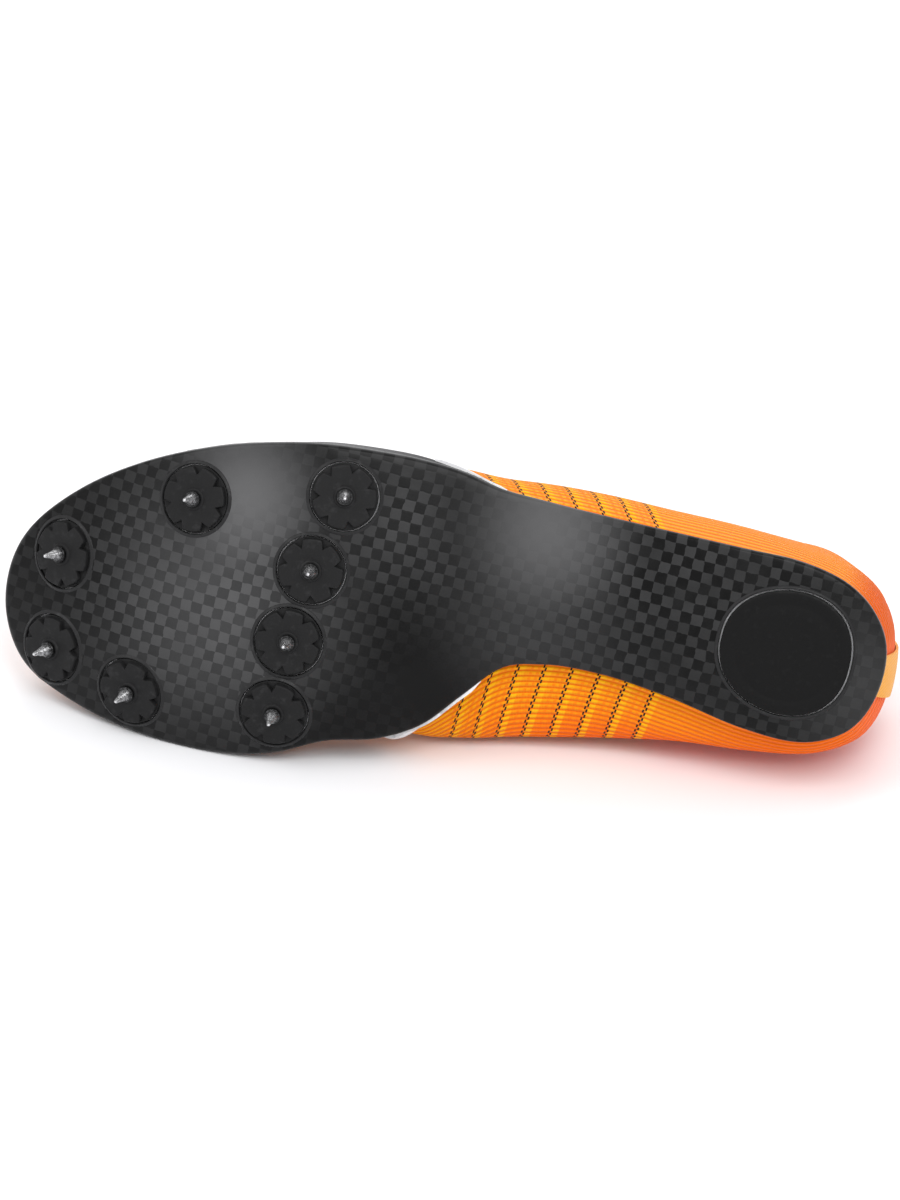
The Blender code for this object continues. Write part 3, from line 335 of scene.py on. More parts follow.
def sole_normal(x, y):
    """Upward unit normal of the underside."""
    step = SLOPE_STEP
    along = (underside(x + step, y) - underside(x - step, y)) / (2 * step)
    out = (underside(x, y + step) - underside(x, y - step)) / (2 * step)
    normal = np.stack([-along, -out, np.ones_like(along)], axis=-1)
    return normal / np.linalg.norm(normal, axis=-1, keepdims=True)


def on_sole(x, y, depth):
    """Points at a depth above the underside, measured along its normal."""
    x = np.asarray(x, dtype=float)
    y = np.asarray(y, dtype=float)
    base = np.stack([x, y, underside(x, y)], axis=-1)
    return base + depth * sole_normal(x, y)


def even_stations():
    """Even angles that space the stations evenly round the sole's edge."""
    dense = np.linspace(0, 1, 400)
    steps = 0
    for side in (1, -1):
        steps = steps + np.hypot(np.diff(length_at(dense)), np.diff(edge_out(dense, side)))
    travel = np.concatenate([[0], np.cumsum(steps)])
    return np.interp(np.linspace(0, travel[-1], STATIONS + 1), travel, dense)


ANGLES = even_stations()
RING = [(angle, 1) for angle in ANGLES] + [(angle, -1) for angle in ANGLES[-2:0:-1]]


def plan_normal(angle, side):
    """Outward unit normal of the sole's edge, seen from above."""
    points = []
    for at in (angle - side * ANGLE_STEP, angle + side * ANGLE_STEP):
        other = side if 0 <= at <= 1 else -side
        folded = abs(at) if at < 1 else 2 - at
        points.append((length_at(folded), edge_out(folded, other)))
    run = np.subtract(points[1], points[0])
    return unit(np.array([-run[1], run[0], 0.0]))


def outward(angle, side):
    """Level direction in which the upper swells: back at the heel, sideways, ahead at the toe."""
    turn = cos(pi * angle)
    along = -turn * abs(turn) ** 4
    return np.array([along, side * (1 - along * along) ** 0.5, 0.0])


def inset_point(angle, side, inset, depth):
    """Point a distance in from the sole's edge and above its underside."""
    edge = np.array([length_at(angle), edge_out(angle, side), 0.0])
    x, y, _ = edge - inset * plan_normal(angle, side)
    return on_sole(x, y, depth)


EDGE_SETBACK = PLATE_THICKNESS + WALL_CLEARANCE * SEAT_GAP
FOAM_DEPTH = PLATE_THICKNESS + SEAT_GAP
UPPER_DEPTH = FOAM_DEPTH + FOAM_THICKNESS + SEAT_GAP


def bezier(p0, p1, p2, p3, count):
    """Points of a cubic, both ends included."""
    t = np.linspace(0, 1, count)[:, None]
    return (1 - t) ** 3 * p0 + 3 * t * (1 - t) ** 2 * p1 + 3 * t * t * (1 - t) * p2 + t ** 3 * p3


@cache
def rib(angle, side):
    """Outer face of the upper along one rib, from the sole's edge to the top line."""
    table = UPPER[side]
    row = {name: float(table.read(name, angle)) for name in UPPER_COLUMNS}
    swell = outward(angle, side)
    foot = inset_point(angle, side, EDGE_SETBACK, UPPER_DEPTH)
    reach = swell * row["reach"] * BALL_WIDTH
    rise = UP * row["rise"] * INSTEP_HEIGHT
    wide = foot + reach + rise
    top_up = row["heel"] * HEEL_HEIGHT + row["instep"] * INSTEP_HEIGHT
    top = np.array([row["top_along"] * SOLE_LENGTH, side * row["top_out"] * BALL_WIDTH, top_up])
    span = np.linalg.norm(top - wide)
    away = unit((wide - top) * (1, 1, 0))
    across = min(max((row["lean"] - LEAN_START) / LEAN_SPAN, 0), 1)
    away = away * across + swell * (1 - across)
    lean = radians(row["lean"])
    top_handle = top + row["sweep"] * span * (away * sin(lean) - UP * cos(lean))
    low_rows = RIB_ROWS // 3
    low = bezier(foot, foot + FOOT_OUT * reach + FOOT_UP * rise, wide - WIDE_DOWN * rise, wide,
                 low_rows + 1)
    high = bezier(wide, wide + UP * row["crown"] * span, top_handle, top,
                  RIB_ROWS - low_rows + 1)
    return np.concatenate([low, high[1:]])


def travelled(line):
    """Distance along a line of points, from its first."""
    return np.concatenate([[0], np.cumsum(np.linalg.norm(np.diff(line, axis=0), axis=1))])


def rib_at(angle, side, down):
    """Point of a rib at a distance down from the top line, and its outward normal."""
    found = []
    for at in (angle - ANGLE_STEP, angle, angle + ANGLE_STEP):
        line = rib(at, side)[::-1]
        travel = travelled(line)
        for reach in (down, down + SLOPE_STEP):
            found.append([np.interp(reach, travel, line[:, axis]) for axis in range(3)])
    found = np.array(found)
    normal = np.cross(found[4] - found[0], found[3] - found[2])
    x = found[2][0]
    inside = np.array([x, (edge_out(angle, 1) + edge_out(angle, -1)) / 2, HEEL_HEIGHT / 3])
    if np.dot(normal, found[2] - inside) < 0:
        normal = -normal
    return found[2], unit(normal)


def rib_at_height(line, height):
    """Point of a rib where it reaches a height above its foot."""
    rises = line[:, 2] - line[0, 2]
    top = int(np.argmax(rises)) + 1
    return np.array([np.interp(height, rises[:top], line[:top, axis]) for axis in range(3)])


def collar_share(along):
    """How much of the collar's padding the top line has, from 1 at the heel to 0 at the throat."""
    return min(max((FIRST_EYELET - along) / COLLAR_FADE, 0), 1)


def across_points(row_points, count):
    """A smooth curve through a row of points, evenly read."""
    row_points = np.array(row_points)
    travel = travelled(row_points)
    at = np.linspace(0, travel[-1], count)
    slopes = [knot_slopes(travel, row_points[:, axis]) for axis in range(3)]
    return [np.array([smooth(a, travel, row_points[:, axis], slopes[axis]) for axis in range(3)])
            for a in at]


def under_upper(angle, side, down):
    """Point just inside the upper's inner face, where the tongue's outer face lies."""
    point, normal = rib_at(angle, side, down)
    wall = UPPER_WALL + COLLAR_PADDING * collar_share(length_at(angle) / SOLE_LENGTH)
    return point - normal * (wall + 2 * SEAT_GAP)


def floor_sheet(ring_points, inset, depth):
    """Points and faces of a floor between the lateral and the medial edge."""
    points = list(ring_points)
    count = len(points)
    plans = []
    rows = [[0]]
    for station in range(1, STATIONS):
        lateral = station
        medial = count - station
        ends = inset_ends(station, inset)
        row = [lateral]
        for strip in range(1, STRIPS):
            share = strip / STRIPS
            row.append(count + len(plans))
            plans.append(ends[0] * (1 - share) + ends[1] * share)
        row.append(medial)
        rows.append(row)
    rows.append([STATIONS])
    faces = []
    for near, far in zip(rows, rows[1:]):
        if len(near) == 1:
            faces += [(near[0], far[i + 1], far[i]) for i in range(len(far) - 1)]
        elif len(far) == 1:
            faces += [(near[i], near[i + 1], far[0]) for i in range(len(near) - 1)]
        else:
            faces += [(near[i], near[i + 1], far[i + 1], far[i]) for i in range(len(near) - 1)]
    plans = np.array(plans)
    points.extend(on_sole(plans[:, 0], plans[:, 1], depth))
    return points, faces


def inset_ends(station, inset):
    """Plan points of the two inset edges of a station."""
    ends = []
    for side in (1, -1):
        angle = ANGLES[station]
        edge = np.array([length_at(angle), edge_out(angle, side)])
        ends.append(edge - inset * plan_normal(angle, side)[:2])
    return ends


def wall_point(angle, side, height):
    """Outer face of the plate's side wall at a height above its edge."""
    edge = inset_point(angle, side, 0, 0)
    line = rib(angle, side)
    upper_foot = line[0, 2] - edge[2]
    if height <= upper_foot:
        return edge + UP * height
    beside = rib_at_height(line, height - upper_foot)
    before = rib_at_height(rib(max(angle - ANGLE_STEP, 0), side), height - upper_foot)
    after = rib_at_height(rib(min(angle + ANGLE_STEP, 1), side), height - upper_foot)
    above = rib_at_height(line, height - upper_foot + SLOPE_STEP)
    normal = np.cross(after - before, above - beside) * -side
    return beside + unit(normal) * EDGE_SETBACK


def sole_frame(x, y):
    """Matrix whose origin is on the plate's underside and whose Z points out of it."""
    origin = on_sole(x, y, 0.0)
    down = Vector(-sole_normal(np.asarray(x), np.asarray(y)))
    along = Vector((1, 0, 0))
    across = down.cross(along).normalized()
    along = across.cross(down)
    turn = Matrix((along, across, down)).transposed().to_4x4()
    return Matrix.Translation(Vector(origin)) @ turn


def egg_outline(length, width):
    """Points of the heel pad's rounded egg, its blunt end to the heel."""
    turn = 2 * pi * np.arange(PAD_SIDES) / PAD_SIDES
    squared = np.abs(np.sin(turn)) ** PAD_SQUARE * np.sign(np.sin(turn))
    out = width / 2 * squared * (1 - PAD_TAPER * np.cos(turn))
    return np.stack([length / 2 * np.cos(turn), out, 0 * turn], axis=1)


def eyelets():
    """Centre and outward normal of each eyelet, lateral and medial in pairs."""
    alongs = np.linspace(FIRST_EYELET, LAST_EYELET, EYELET_PAIRS)
    return [[rib_at(even_angle(along), side, EYELET_INSET) for side in (1, -1)]
            for along in alongs]


def link(name, data):
    """A new object in the scene."""
    made = bpy.data.objects.new(name, data)
    bpy.context.scene.collection.objects.link(made)
    return made


def new_mesh(name, points, faces, materials=()):
    """An object in the upright frame from points and faces."""
    mesh = bpy.data.meshes.new(name)
    mesh.from_pydata([tuple(map(float, point)) for point in points], [], faces)
    for material in materials:
        mesh.materials.append(material)
    mesh.shade_smooth()
    return link(name, mesh)


def evaluated(made):
    """Apply the modifiers and keep the result as the object's own mesh."""
    bpy.context.view_layer.update()
    depsgraph = bpy.context.evaluated_depsgraph_get()
    result = bpy.data.meshes.new_from_object(made.evaluated_get(depsgraph))
    made.modifiers.clear()
    made.data = result


def points_of(mesh):
    """The places of a mesh's points, a row each."""
    places = np.zeros(len(mesh.vertices) * 3)
    mesh.vertices.foreach_get("co", places)
    return places.reshape(-1, 3)


def keep(mesh, name, values, domain="POINT"):
    """Keep a vector in millimetres with every point or corner of a mesh."""
    kept = mesh.attributes.new(name, "FLOAT_VECTOR", domain)
    kept.data.foreach_set("vector", np.ravel(values))


def finish_piece(made, nodes=(), crisp=None):
    """Note the upright place of every point, lay the piece down and fix it to the shoe."""
    evaluated(made)
    mesh = made.data
    if crisp is not None:
        mesh.shade_smooth()
        mesh.set_sharp_from_angle(angle=radians(crisp))
    keep(mesh, "upright", points_of(mesh) * 1000)
    mesh.transform(LYING)
    mesh.update()
    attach(made, "root")
    if nodes:
        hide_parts(*nodes)


def thicken(made, thickness, offset):
    """Give a sheet a thickness, along its normals where the offset is 1, against them at -1."""
    shell = made.modifiers.new("thickness", "SOLIDIFY")
    shell.thickness = thickness
    shell.offset = offset
    return shell


def face_up(made):
    """Turn a sheet over where its faces look down."""
    if sum(face.normal.z * face.area for face in made.data.polygons) < 0:
        made.data.flip_normals()


def cut(made, *cutters):
    """Cut closed forms out of a piece and delete them."""
    for cutter in cutters:
        boolean = made.modifiers.new("opening", "BOOLEAN")
        boolean.operation = "DIFFERENCE"
        boolean.solver = "EXACT"
        boolean.object = cutter
    evaluated(made)
    for cutter in cutters:
        bpy.data.objects.remove(cutter, do_unlink=True)


def round_cutter(name, places, diameter, depth, sides):
    """Cylinders centred on their places, as one object."""
    work = bmesh.new()
    for place in places:
        bmesh.ops.create_cone(work, cap_ends=True, segments=sides, radius1=diameter / 2,
                              radius2=diameter / 2, depth=depth, matrix=place)
    mesh = bpy.data.meshes.new(name)
    work.to_mesh(mesh)
    work.free()
    return link(name, mesh)


def grid_faces(rows, columns, closed=False, looped=False):
    """Quads of a grid stored row by row, its rows closed or its last row joined to its first."""
    faces = []
    for i in range(rows if looped else rows - 1):
        here = i * columns
        there = (i + 1) % rows * columns
        for j in range(columns if closed else columns - 1):
            k = (j + 1) % columns
            faces.append((here + j, here + k, there + k, there + j))
    return faces


def loft(name, rings, material, looped=False):
    """A closed form through rings of points, its ends capped, or joined where it is looped."""
    rings = np.array(rings)
    rows, around = rings.shape[:2]
    faces = grid_faces(rows, around, True, looped)
    if not looped:
        faces += [tuple(reversed(range(around))), tuple(range((rows - 1) * around, rows * around))]
    return outward_closed(new_mesh(name, rings.reshape(-1, 3), faces, [material] if material else []))


def outward_closed(made):
    """Turn every face of a closed form outward."""
    work = bmesh.new()
    work.from_mesh(made.data)
    bmesh.ops.recalc_face_normals(work, faces=work.faces)
    work.to_mesh(made.data)
    work.free()
    made.data.update()
    return made


def lathe(name, profile, sides, material):
    """A closed turned form about Z from a profile of radius and height, its ends on the axis."""
    rings = [circle(radius, height, sides) for radius, height in profile[1:-1]]
    faces = grid_faces(len(rings), sides, True)
    low = len(rings) * sides
    last = low - sides
    for j in range(sides):
        k = (j + 1) % sides
        faces += [(low, k, j), (low + 1, last + j, last + k)]
    points = [*np.concatenate(rings), (0, 0, profile[0][1]), (0, 0, profile[-1][1])]
    return outward_closed(new_mesh(name, points, faces, [material]))


def circle(radius, height, sides):
    """Points of a level circle, its radius one number or one for each point."""
    turn = 2 * pi * np.arange(sides) / sides
    return np.stack([radius * np.cos(turn), radius * np.sin(turn), 0 * turn + height], axis=1)


def facing(normal):
    """Matrix that turns Z to a normal."""
    return Vector(normal).to_track_quat("Z", "Y").to_matrix().to_4x4()


def moved(points, place):
    """Points carried by a matrix."""
    matrix = np.array(place)
    return points @ matrix[:3, :3].T + matrix[:3, 3]


def tube(name, path, radii, sides, material, closed=False, flat=1.0, wide_axis=None):
    """A tube along a path, its section flattened across wide_axis where that is given."""
    path = np.array(path)
    count = len(path)
    radii = np.broadcast_to(radii, count)
    rings = []
    wide = None
    for i in range(count):
        if closed:
            ahead = unit(path[(i + 1) % count] - path[i - 1])
        else:
            ahead = unit(path[min(i + 1, count - 1)] - path[max(i - 1, 0)])
        if wide_axis is not None:
            wide = wide_axis[i]
        elif wide is None:
            wide = np.cross(ahead, UP if abs(ahead[2]) < 0.9 else (1.0, 0.0, 0.0))
        wide = unit(wide - ahead * np.dot(wide, ahead))
        axes = np.array([wide, np.cross(ahead, wide) * flat, ahead])
        rings.append(path[i] + circle(radii[i], 0, sides) @ axes)
    return loft(name, rings, material, closed)


class Reading:
    """A value in a material that takes plain arithmetic."""

    def __init__(self, shade, socket):
        self.shade = shade
        self.socket = socket

    def math(self, operation, other=0.0):
        """What a maths node makes of it."""
        return self.shade.node("ShaderNodeMath", (self, other), operation=operation)

    def ramp(self, low, high, to_low=0.0, to_high=1.0):
        """A smooth step between two readings."""
        return self.shade.node("ShaderNodeMapRange", (self, low, high, to_low, to_high),
                               interpolation_type="SMOOTHSTEP")

    def wave(self, pitch):
        """A sine of it."""
        return (self * (2 * pi / pitch)).math("SINE")

    def __add__(self, other):
        return self.math("ADD", other)

    def __sub__(self, other):
        return self.math("SUBTRACT", other)

    def __rsub__(self, other):
        return self.shade.node("ShaderNodeMath", (other, self), operation="SUBTRACT")

    def __mul__(self, other):
        return self.math("MULTIPLY", other)

    def __truediv__(self, other):
        return self.math("DIVIDE", other)


class Shade:
    """A Principled material whose nodes are made by short calls."""

    def __init__(self, name, colour, roughness, **sockets):
        self.made = bpy.data.materials.new(name)
        self.made.use_nodes = True
        self.tree = self.made.node_tree
        self.shader = self.tree.nodes["Principled BSDF"]
        for socket, value in dict(sockets, Base_Color=(*colour, 1.0), Roughness=roughness).items():
            self.shader.inputs[socket.replace("_", " ")].default_value = value

    def node(self, kind, inputs, output=0, **settings):
        """Add a node from its inputs in order, or by name, and its own settings."""
        node = self.tree.nodes.new(kind)
        for key, value in settings.items():
            setattr(node, key, value)
        named = inputs if isinstance(inputs, dict) else dict(enumerate(inputs))
        for key, value in named.items():
            if isinstance(value, Reading):
                self.tree.links.new(value.socket, node.inputs[key])
            else:
                node.inputs[key].default_value = value
        return Reading(self, node.outputs[output])

    def place(self, name="upright"):
        """A vector kept with the mesh, in millimetres of the upright frame."""
        return self.node("ShaderNodeAttribute", (), "Vector", attribute_name=name)

    def split(self, vector):
        """The three parts of a vector."""
        parts = self.node("ShaderNodeSeparateXYZ", (vector,)).socket.node.outputs
        return [Reading(self, part) for part in parts]

    def join(self, x, y, z):
        """A vector of three parts."""
        return self.node("ShaderNodeCombineXYZ", (x, y, z))

    def mix(self, share, a, b):
        """A mix of two colours."""
        a, b = [(*part, 1.0) if isinstance(part, tuple) else part for part in (a, b)]
        return self.node("ShaderNodeMix", {0: share, 6: a, 7: b}, 2, data_type="RGBA")

    def noise(self, vector, scale, detail=2.0, roughness=0.5):
        """Noise from 0 to 1."""
        return self.node("ShaderNodeTexNoise", {"Vector": vector, "Scale": scale, "Detail": detail,
                                                "Roughness": roughness})

    def blob(self, x, y, centre, reach):
        """A soft round patch of the sole, 1 at its centre."""
        dx, dy = x - centre[0], y - centre[1]
        return (dx * dx + dy * dy).math("SQRT").ramp(reach, 0.0)

    def bump(self, height, distance):
        """Bump the surface by a height in units of distance."""
        self.plug("Normal", self.node("ShaderNodeBump", {"Strength": 1.0, "Distance": distance,
                                                         "Height": height}))

    def plug(self, socket, reading):
        """Link a reading to one of the shader's sockets."""
        self.tree.links.new(reading.socket, self.shader.inputs[socket])

    def tone(self, value, blue=1.02):
        """Give the surface a near grey of a value."""
        self.plug("Base Color", self.join(value, value, value * blue))


def grey(value):
    """A neutral colour from its linear value."""
    return (value, value, value * 1.02)


# The weave of the sole: the side of a square in mm, the threads in it and their turn
WEAVE_CELL = 3.45
WEAVE_THREADS = 9
WEAVE_TURN = radians(13)

# Painted sheen and painted shade on the sole, as patches in mm: centre, reach, change of the weave's
# contrast, change of its grey; a raised grey paints sheen, a lowered one paints shade
SOLE_SHEEN_AND_SHADE_PATCHES = [
    ((212, 12), 58, 0.75, 0.044),
    ((154, 38), 30, 0.55, 0.014),
    ((60, 24), 52, 0.70, 0.004),
    ((106, 38), 34, -0.25, 0.072),
    ((202, 48), 30, -0.45, 0.075),
    ((112, 10), 44, 0.05, 0.020),
    ((146, -14), 38, -0.30, -0.008),
    ((178, -26), 26, -0.20, -0.006),
    ((262, 16), 36, 0.10, -0.006),
    ((8, -12), 34, -0.15, 0.020),
]

# The weave's contrast and the sole's grey outside the patches
PLAIN_CONTRAST = 0.30
PLAIN_GREY = 0.0100


def carbon_material():
    """Woven carbon under a clear coat, its squares stronger and weaker from patch to patch, its grey
    raised by painted sheen and lowered by painted shade.
    """
    shade = Shade("carbon_weave", grey(0.03), 0.36, Specular_IOR_Level=0.10, Coat_Weight=0.10,
                  Coat_Roughness=0.14, Coat_IOR=1.35)
    place = shade.place()
    x, y, _ = shade.split(place)
    drift = (shade.noise(place, 0.06) - 0.5) * 2.2
    jitter = (shade.noise(place, 0.55, 1.0) - 0.5) * 0.7
    u = (x * cos(WEAVE_TURN) + y * sin(WEAVE_TURN) + drift + jitter) / WEAVE_CELL
    v = (y * cos(WEAVE_TURN) - x * sin(WEAVE_TURN) + jitter) / WEAVE_CELL
    column, row = u.math("FLOOR"), v.math("FLOOR")
    parity = (column + row).math("FLOORED_MODULO", 2.0)
    own = shade.node("ShaderNodeTexWhiteNoise", (shade.join(column, row, 0.0),))
    contrast, level = PLAIN_CONTRAST, PLAIN_GREY
    # Each patch paints sheen or shade: it changes the weave's contrast and raises or lowers the grey
    for centre, reach, more, lighter in SOLE_SHEEN_AND_SHADE_PATCHES:
        patch = shade.blob(x, y, centre, reach)
        contrast = patch * more + contrast
        level = patch * lighter + level
    contrast = contrast * shade.noise(place, 0.035, 3.0).ramp(0.30, 0.58, 0.45, 1.15)
    up_wall = shade.split(shade.place("sole"))[2].ramp(2.4, 5.0)
    contrast = (contrast * (1.0 - up_wall)).math("MAXIMUM")
    light = (parity - 0.42) * contrast * own.ramp(0.0, 1.0, 0.75, 1.2)
    threads = v.wave(1 / WEAVE_THREADS) * parity + u.wave(1 / WEAVE_THREADS) * (1.0 - parity)
    grain = shade.noise(place, 1.6, 3.0, 0.6)
    value = light * 0.030 + level + (grain - 0.5) * 0.006 + threads * 0.0007
    shade.tone(value.math("MAXIMUM", 0.003))
    shade.plug("Roughness", grain.ramp(0.2, 0.8, 0.28, 0.42))
    inside = u.math("PINGPONG", 0.5).math("MINIMUM", v.math("PINGPONG", 0.5))
    shade.bump(inside.ramp(0.0, 0.16) * contrast + grain * 0.35, 0.00004)
    return shade.made


def rubber_material(name, level, roughness, grain_size):
    """Matt black rubber with a fine moulded grain and rubbed, lighter spots."""
    shade = Shade(name, grey(level), roughness, Specular_IOR_Level=0.12)
    place = shade.place()
    grain = shade.noise(place, grain_size, 3.0, 0.6)
    worn = shade.noise(place, 0.35, 4.0, 0.65)
    value = worn.ramp(0.52, 0.75) * (level * 0.8) + level + (grain - 0.5) * (level * 0.35)
    shade.tone(value, 1.03)
    shade.plug("Roughness", worn.ramp(0.35, 0.7, roughness + 0.08, roughness - 0.10))
    shade.bump(grain, 0.00005)
    return shade.made


def steel_material():
    """Turned steel with fine rings and small dull flecks, dark in the shade of its pod."""
    shade = Shade("turned_steel", grey(0.55), 0.26, Metallic=1.0)
    place = shade.place("local")
    up = shade.split(place)[2]
    flecks = shade.noise(place, 1.4, 4.0, 0.7)
    shade.tone(flecks.ramp(0.36, 0.62, 0.25, 0.85) * up.ramp(3.2, 5.6, 0.10, 1.0))
    shade.plug("Roughness", flecks.ramp(0.3, 0.7, 0.40, 0.16))
    shade.bump(up.wave(1 / 4.5) * 0.25 + flecks, 0.00006)
    return shade.made


# The knit in mm: pitch of the ribs, of their loops, of the stitched lines and of their dashes,
# the first line's place, how far a line leans toward the toe for each mm up, how it bends back
# for each square mm, and the number of lines
RIB_PITCH = 2.0
LOOP_PITCH = 0.9
LINE_PITCH = 8.6
DASH_PITCH = 2.3
FIRST_LINE = 132.7
LINE_LEAN = 0.38
LINE_BEND = 0.0016
LINES = 8

# Linear colours of the knit
KNIT_YELLOW = (0.98, 0.36, 0.003)
KNIT_BRIGHT = (1.0, 0.50, 0.004)
KNIT_ORANGE = (0.96, 0.17, 0.002)
# Painted light: the pale colour of the lateral side, lit from above
KNIT_RED = (0.97, 0.045, 0.001)
KNIT_LIT_PALE = (0.94, 0.38, 0.050)
KNIT_SALMON = (0.97, 0.17, 0.06)
KNIT_DARK = (0.76, 0.115, 0.003)
STITCH_BLACK = (0.012, 0.010, 0.010)


def knit_material(name, lines):
    """Ribbed knit, yellow at the middle and orange to red at the heel and the medial side, with
    painted light making the lateral side pale and painted shade in part of the medial red and in the
    rib grooves.
    """
    shade = Shade(name, KNIT_YELLOW, 0.62, Specular_IOR_Level=0.10, Sheen_Weight=0.04,
                  Sheen_Roughness=0.4)
    x, up, side = shade.split(shade.place("fabric"))
    ribs = (up * (2 * pi / RIB_PITCH)).math("COSINE")
    fuzz = shade.noise(shade.place(), 1.1, 3.0, 0.6)
    medial = side.ramp(0.25, -0.25)
    heelward = x.ramp(92.0, 30.0)
    heel_end = x.ramp(16.0, 4.0)
    base = shade.mix(heelward, KNIT_YELLOW, KNIT_ORANGE)
    # Partly red dye, partly painted shade: the medial side more red away from the sole's edge, most
    # toward the heel
    red_dye_and_painted_shade = up.ramp(10.0, 34.0) * x.ramp(150.0, 40.0, 0.35, 1.0)
    inner = shade.mix(heel_end * 0.8, shade.mix(red_dye_and_painted_shade, base, KNIT_RED), KNIT_SALMON)
    # Painted light: the lateral side made pale, most toward the heel
    painted_light_share = x.ramp(40.0, 110.0, 0.75, 0.35)
    outer = shade.mix(heel_end, shade.mix(painted_light_share, base, KNIT_LIT_PALE), KNIT_DARK)
    base = shade.mix(medial, outer, inner)
    if lines:
        along = x - (up * LINE_LEAN - up * up * LINE_BEND)
        index = (medial * 1.2 + (FIRST_LINE - 1.2) - along) / LINE_PITCH
        past = (index - index.math("ROUND")) * LINE_PITCH
        cell = index.math("FRACT") * LINE_PITCH
        here = index.math("GREATER_THAN", -0.4) * index.math("LESS_THAN", LINES - 0.5)
        spots = cell.wave(2.1).ramp(-0.1, 0.5) * ribs.ramp(-0.4, 0.3) * fuzz.ramp(0.30, 0.46)
        spots = spots * cell.ramp(3.0, 3.6) * cell.ramp(8.3, 7.6) * here
        base = shade.mix(spots * 0.62, base, KNIT_ORANGE)
        band = cell.ramp(0.2, 0.7) * cell.ramp(2.9, 2.3) * here
        base = shade.mix(band * heelward.ramp(0.0, 1.0, 0.85, 0.5), base, KNIT_BRIGHT)
    # Painted shade: the grooves between the ribs mixed toward a deep orange
    base = shade.mix(ribs.ramp(0.0, -0.9) * 0.80, base, KNIT_DARK)
    base = shade.mix(fuzz.ramp(0.45, 0.8, 0.0, 0.18), base, KNIT_RED)
    height = x.wave(LOOP_PITCH) * 0.05 + ribs + fuzz * 0.4
    if lines:
        threads = []
        for shift, phase in ((0.36, 0.0), (-0.36, 0.5)):
            step = (up / DASH_PITCH + phase).math("FRACT")
            near = (past + shift).math("ABSOLUTE").math("LESS_THAN", 0.29)
            threads.append(near * step.math("LESS_THAN", 0.56))
        dash = threads[0].math("MAXIMUM", threads[1]) * here
        base = shade.mix(dash, base, STITCH_BLACK)
        height = height + dash * 0.9
    shade.plug("Base Color", base)
    shade.bump(height, 0.00030)
    return shade.made


def cloth_material(name, colour, roughness, pitch, depth):
    """Plain woven cloth: threads over and under, with painted shade where they pass under, and slight
    wear.
    """
    shade = Shade(name, colour, roughness, Specular_IOR_Level=0.25, Sheen_Weight=0.2)
    place = shade.place()
    x, y, z = shade.split(place)
    weave = (x + z).wave(pitch) * (y - z).wave(pitch)
    fuzz = shade.noise(place, 0.7, 4.0, 0.6)
    under_thread_shade = tuple(part * 0.55 for part in colour)
    lighter = tuple(min(part * 1.3 + 0.01, 1.0) for part in colour)
    # Painted shade: the weave's low cells, where threads pass under, mixed toward a deeper tone
    base = shade.mix(weave.ramp(0.1, -0.9, 0.0, 0.7), colour, under_thread_shade)
    shade.plug("Base Color", shade.mix(fuzz.ramp(0.45, 0.8, 0.0, 0.35), base, lighter))
    shade.bump(fuzz * 0.6 + weave, depth)
    return shade.made


def trim_material():
    """The pale coated edge of the wings, with soft scuffs."""
    shade = Shade("pale_trim", grey(0.80), 0.38, Specular_IOR_Level=0.5)
    scuffs = shade.noise(shade.place(), 0.5, 4.0, 0.65)
    shade.plug("Base Color", shade.mix(scuffs.ramp(0.5, 0.78), grey(0.80), grey(0.52)))
    shade.plug("Roughness", scuffs.ramp(0.3, 0.7, 0.30, 0.52))
    shade.bump(scuffs, 0.00003)
    return shade.made


def foam_material():
    """White foam with fine closed cells."""
    shade = Shade("white_foam_cells", grey(0.82), 0.6)
    place = shade.place()
    tone = shade.noise(place, 0.2, 3.0)
    shade.plug("Base Color", shade.mix(tone.ramp(0.4, 0.7), grey(0.84), grey(0.74)))
    shade.bump(shade.node("ShaderNodeTexVoronoi", {"Vector": place, "Scale": 2.2}), 0.00006)
    return shade.made


# Radius of the plate's lower edge, and the rounds of its section
EDGE_ROUND = 0.0011
EDGE_STEPS = 5


def fillet_point(angle, side, turn):
    """Point of the plate's rounded lower edge, at a turn from the floor to the wall."""
    foot = inset_point(angle, side, EDGE_ROUND * (1 - sin(turn)), 0)
    return foot + UP * EDGE_ROUND * (1 - cos(turn))


def rim_height(angle, side):
    """Height of the plate's side wall."""
    return WING_HEIGHT * SOLE.read("wall_" + SIDE_NAME[side], angle)


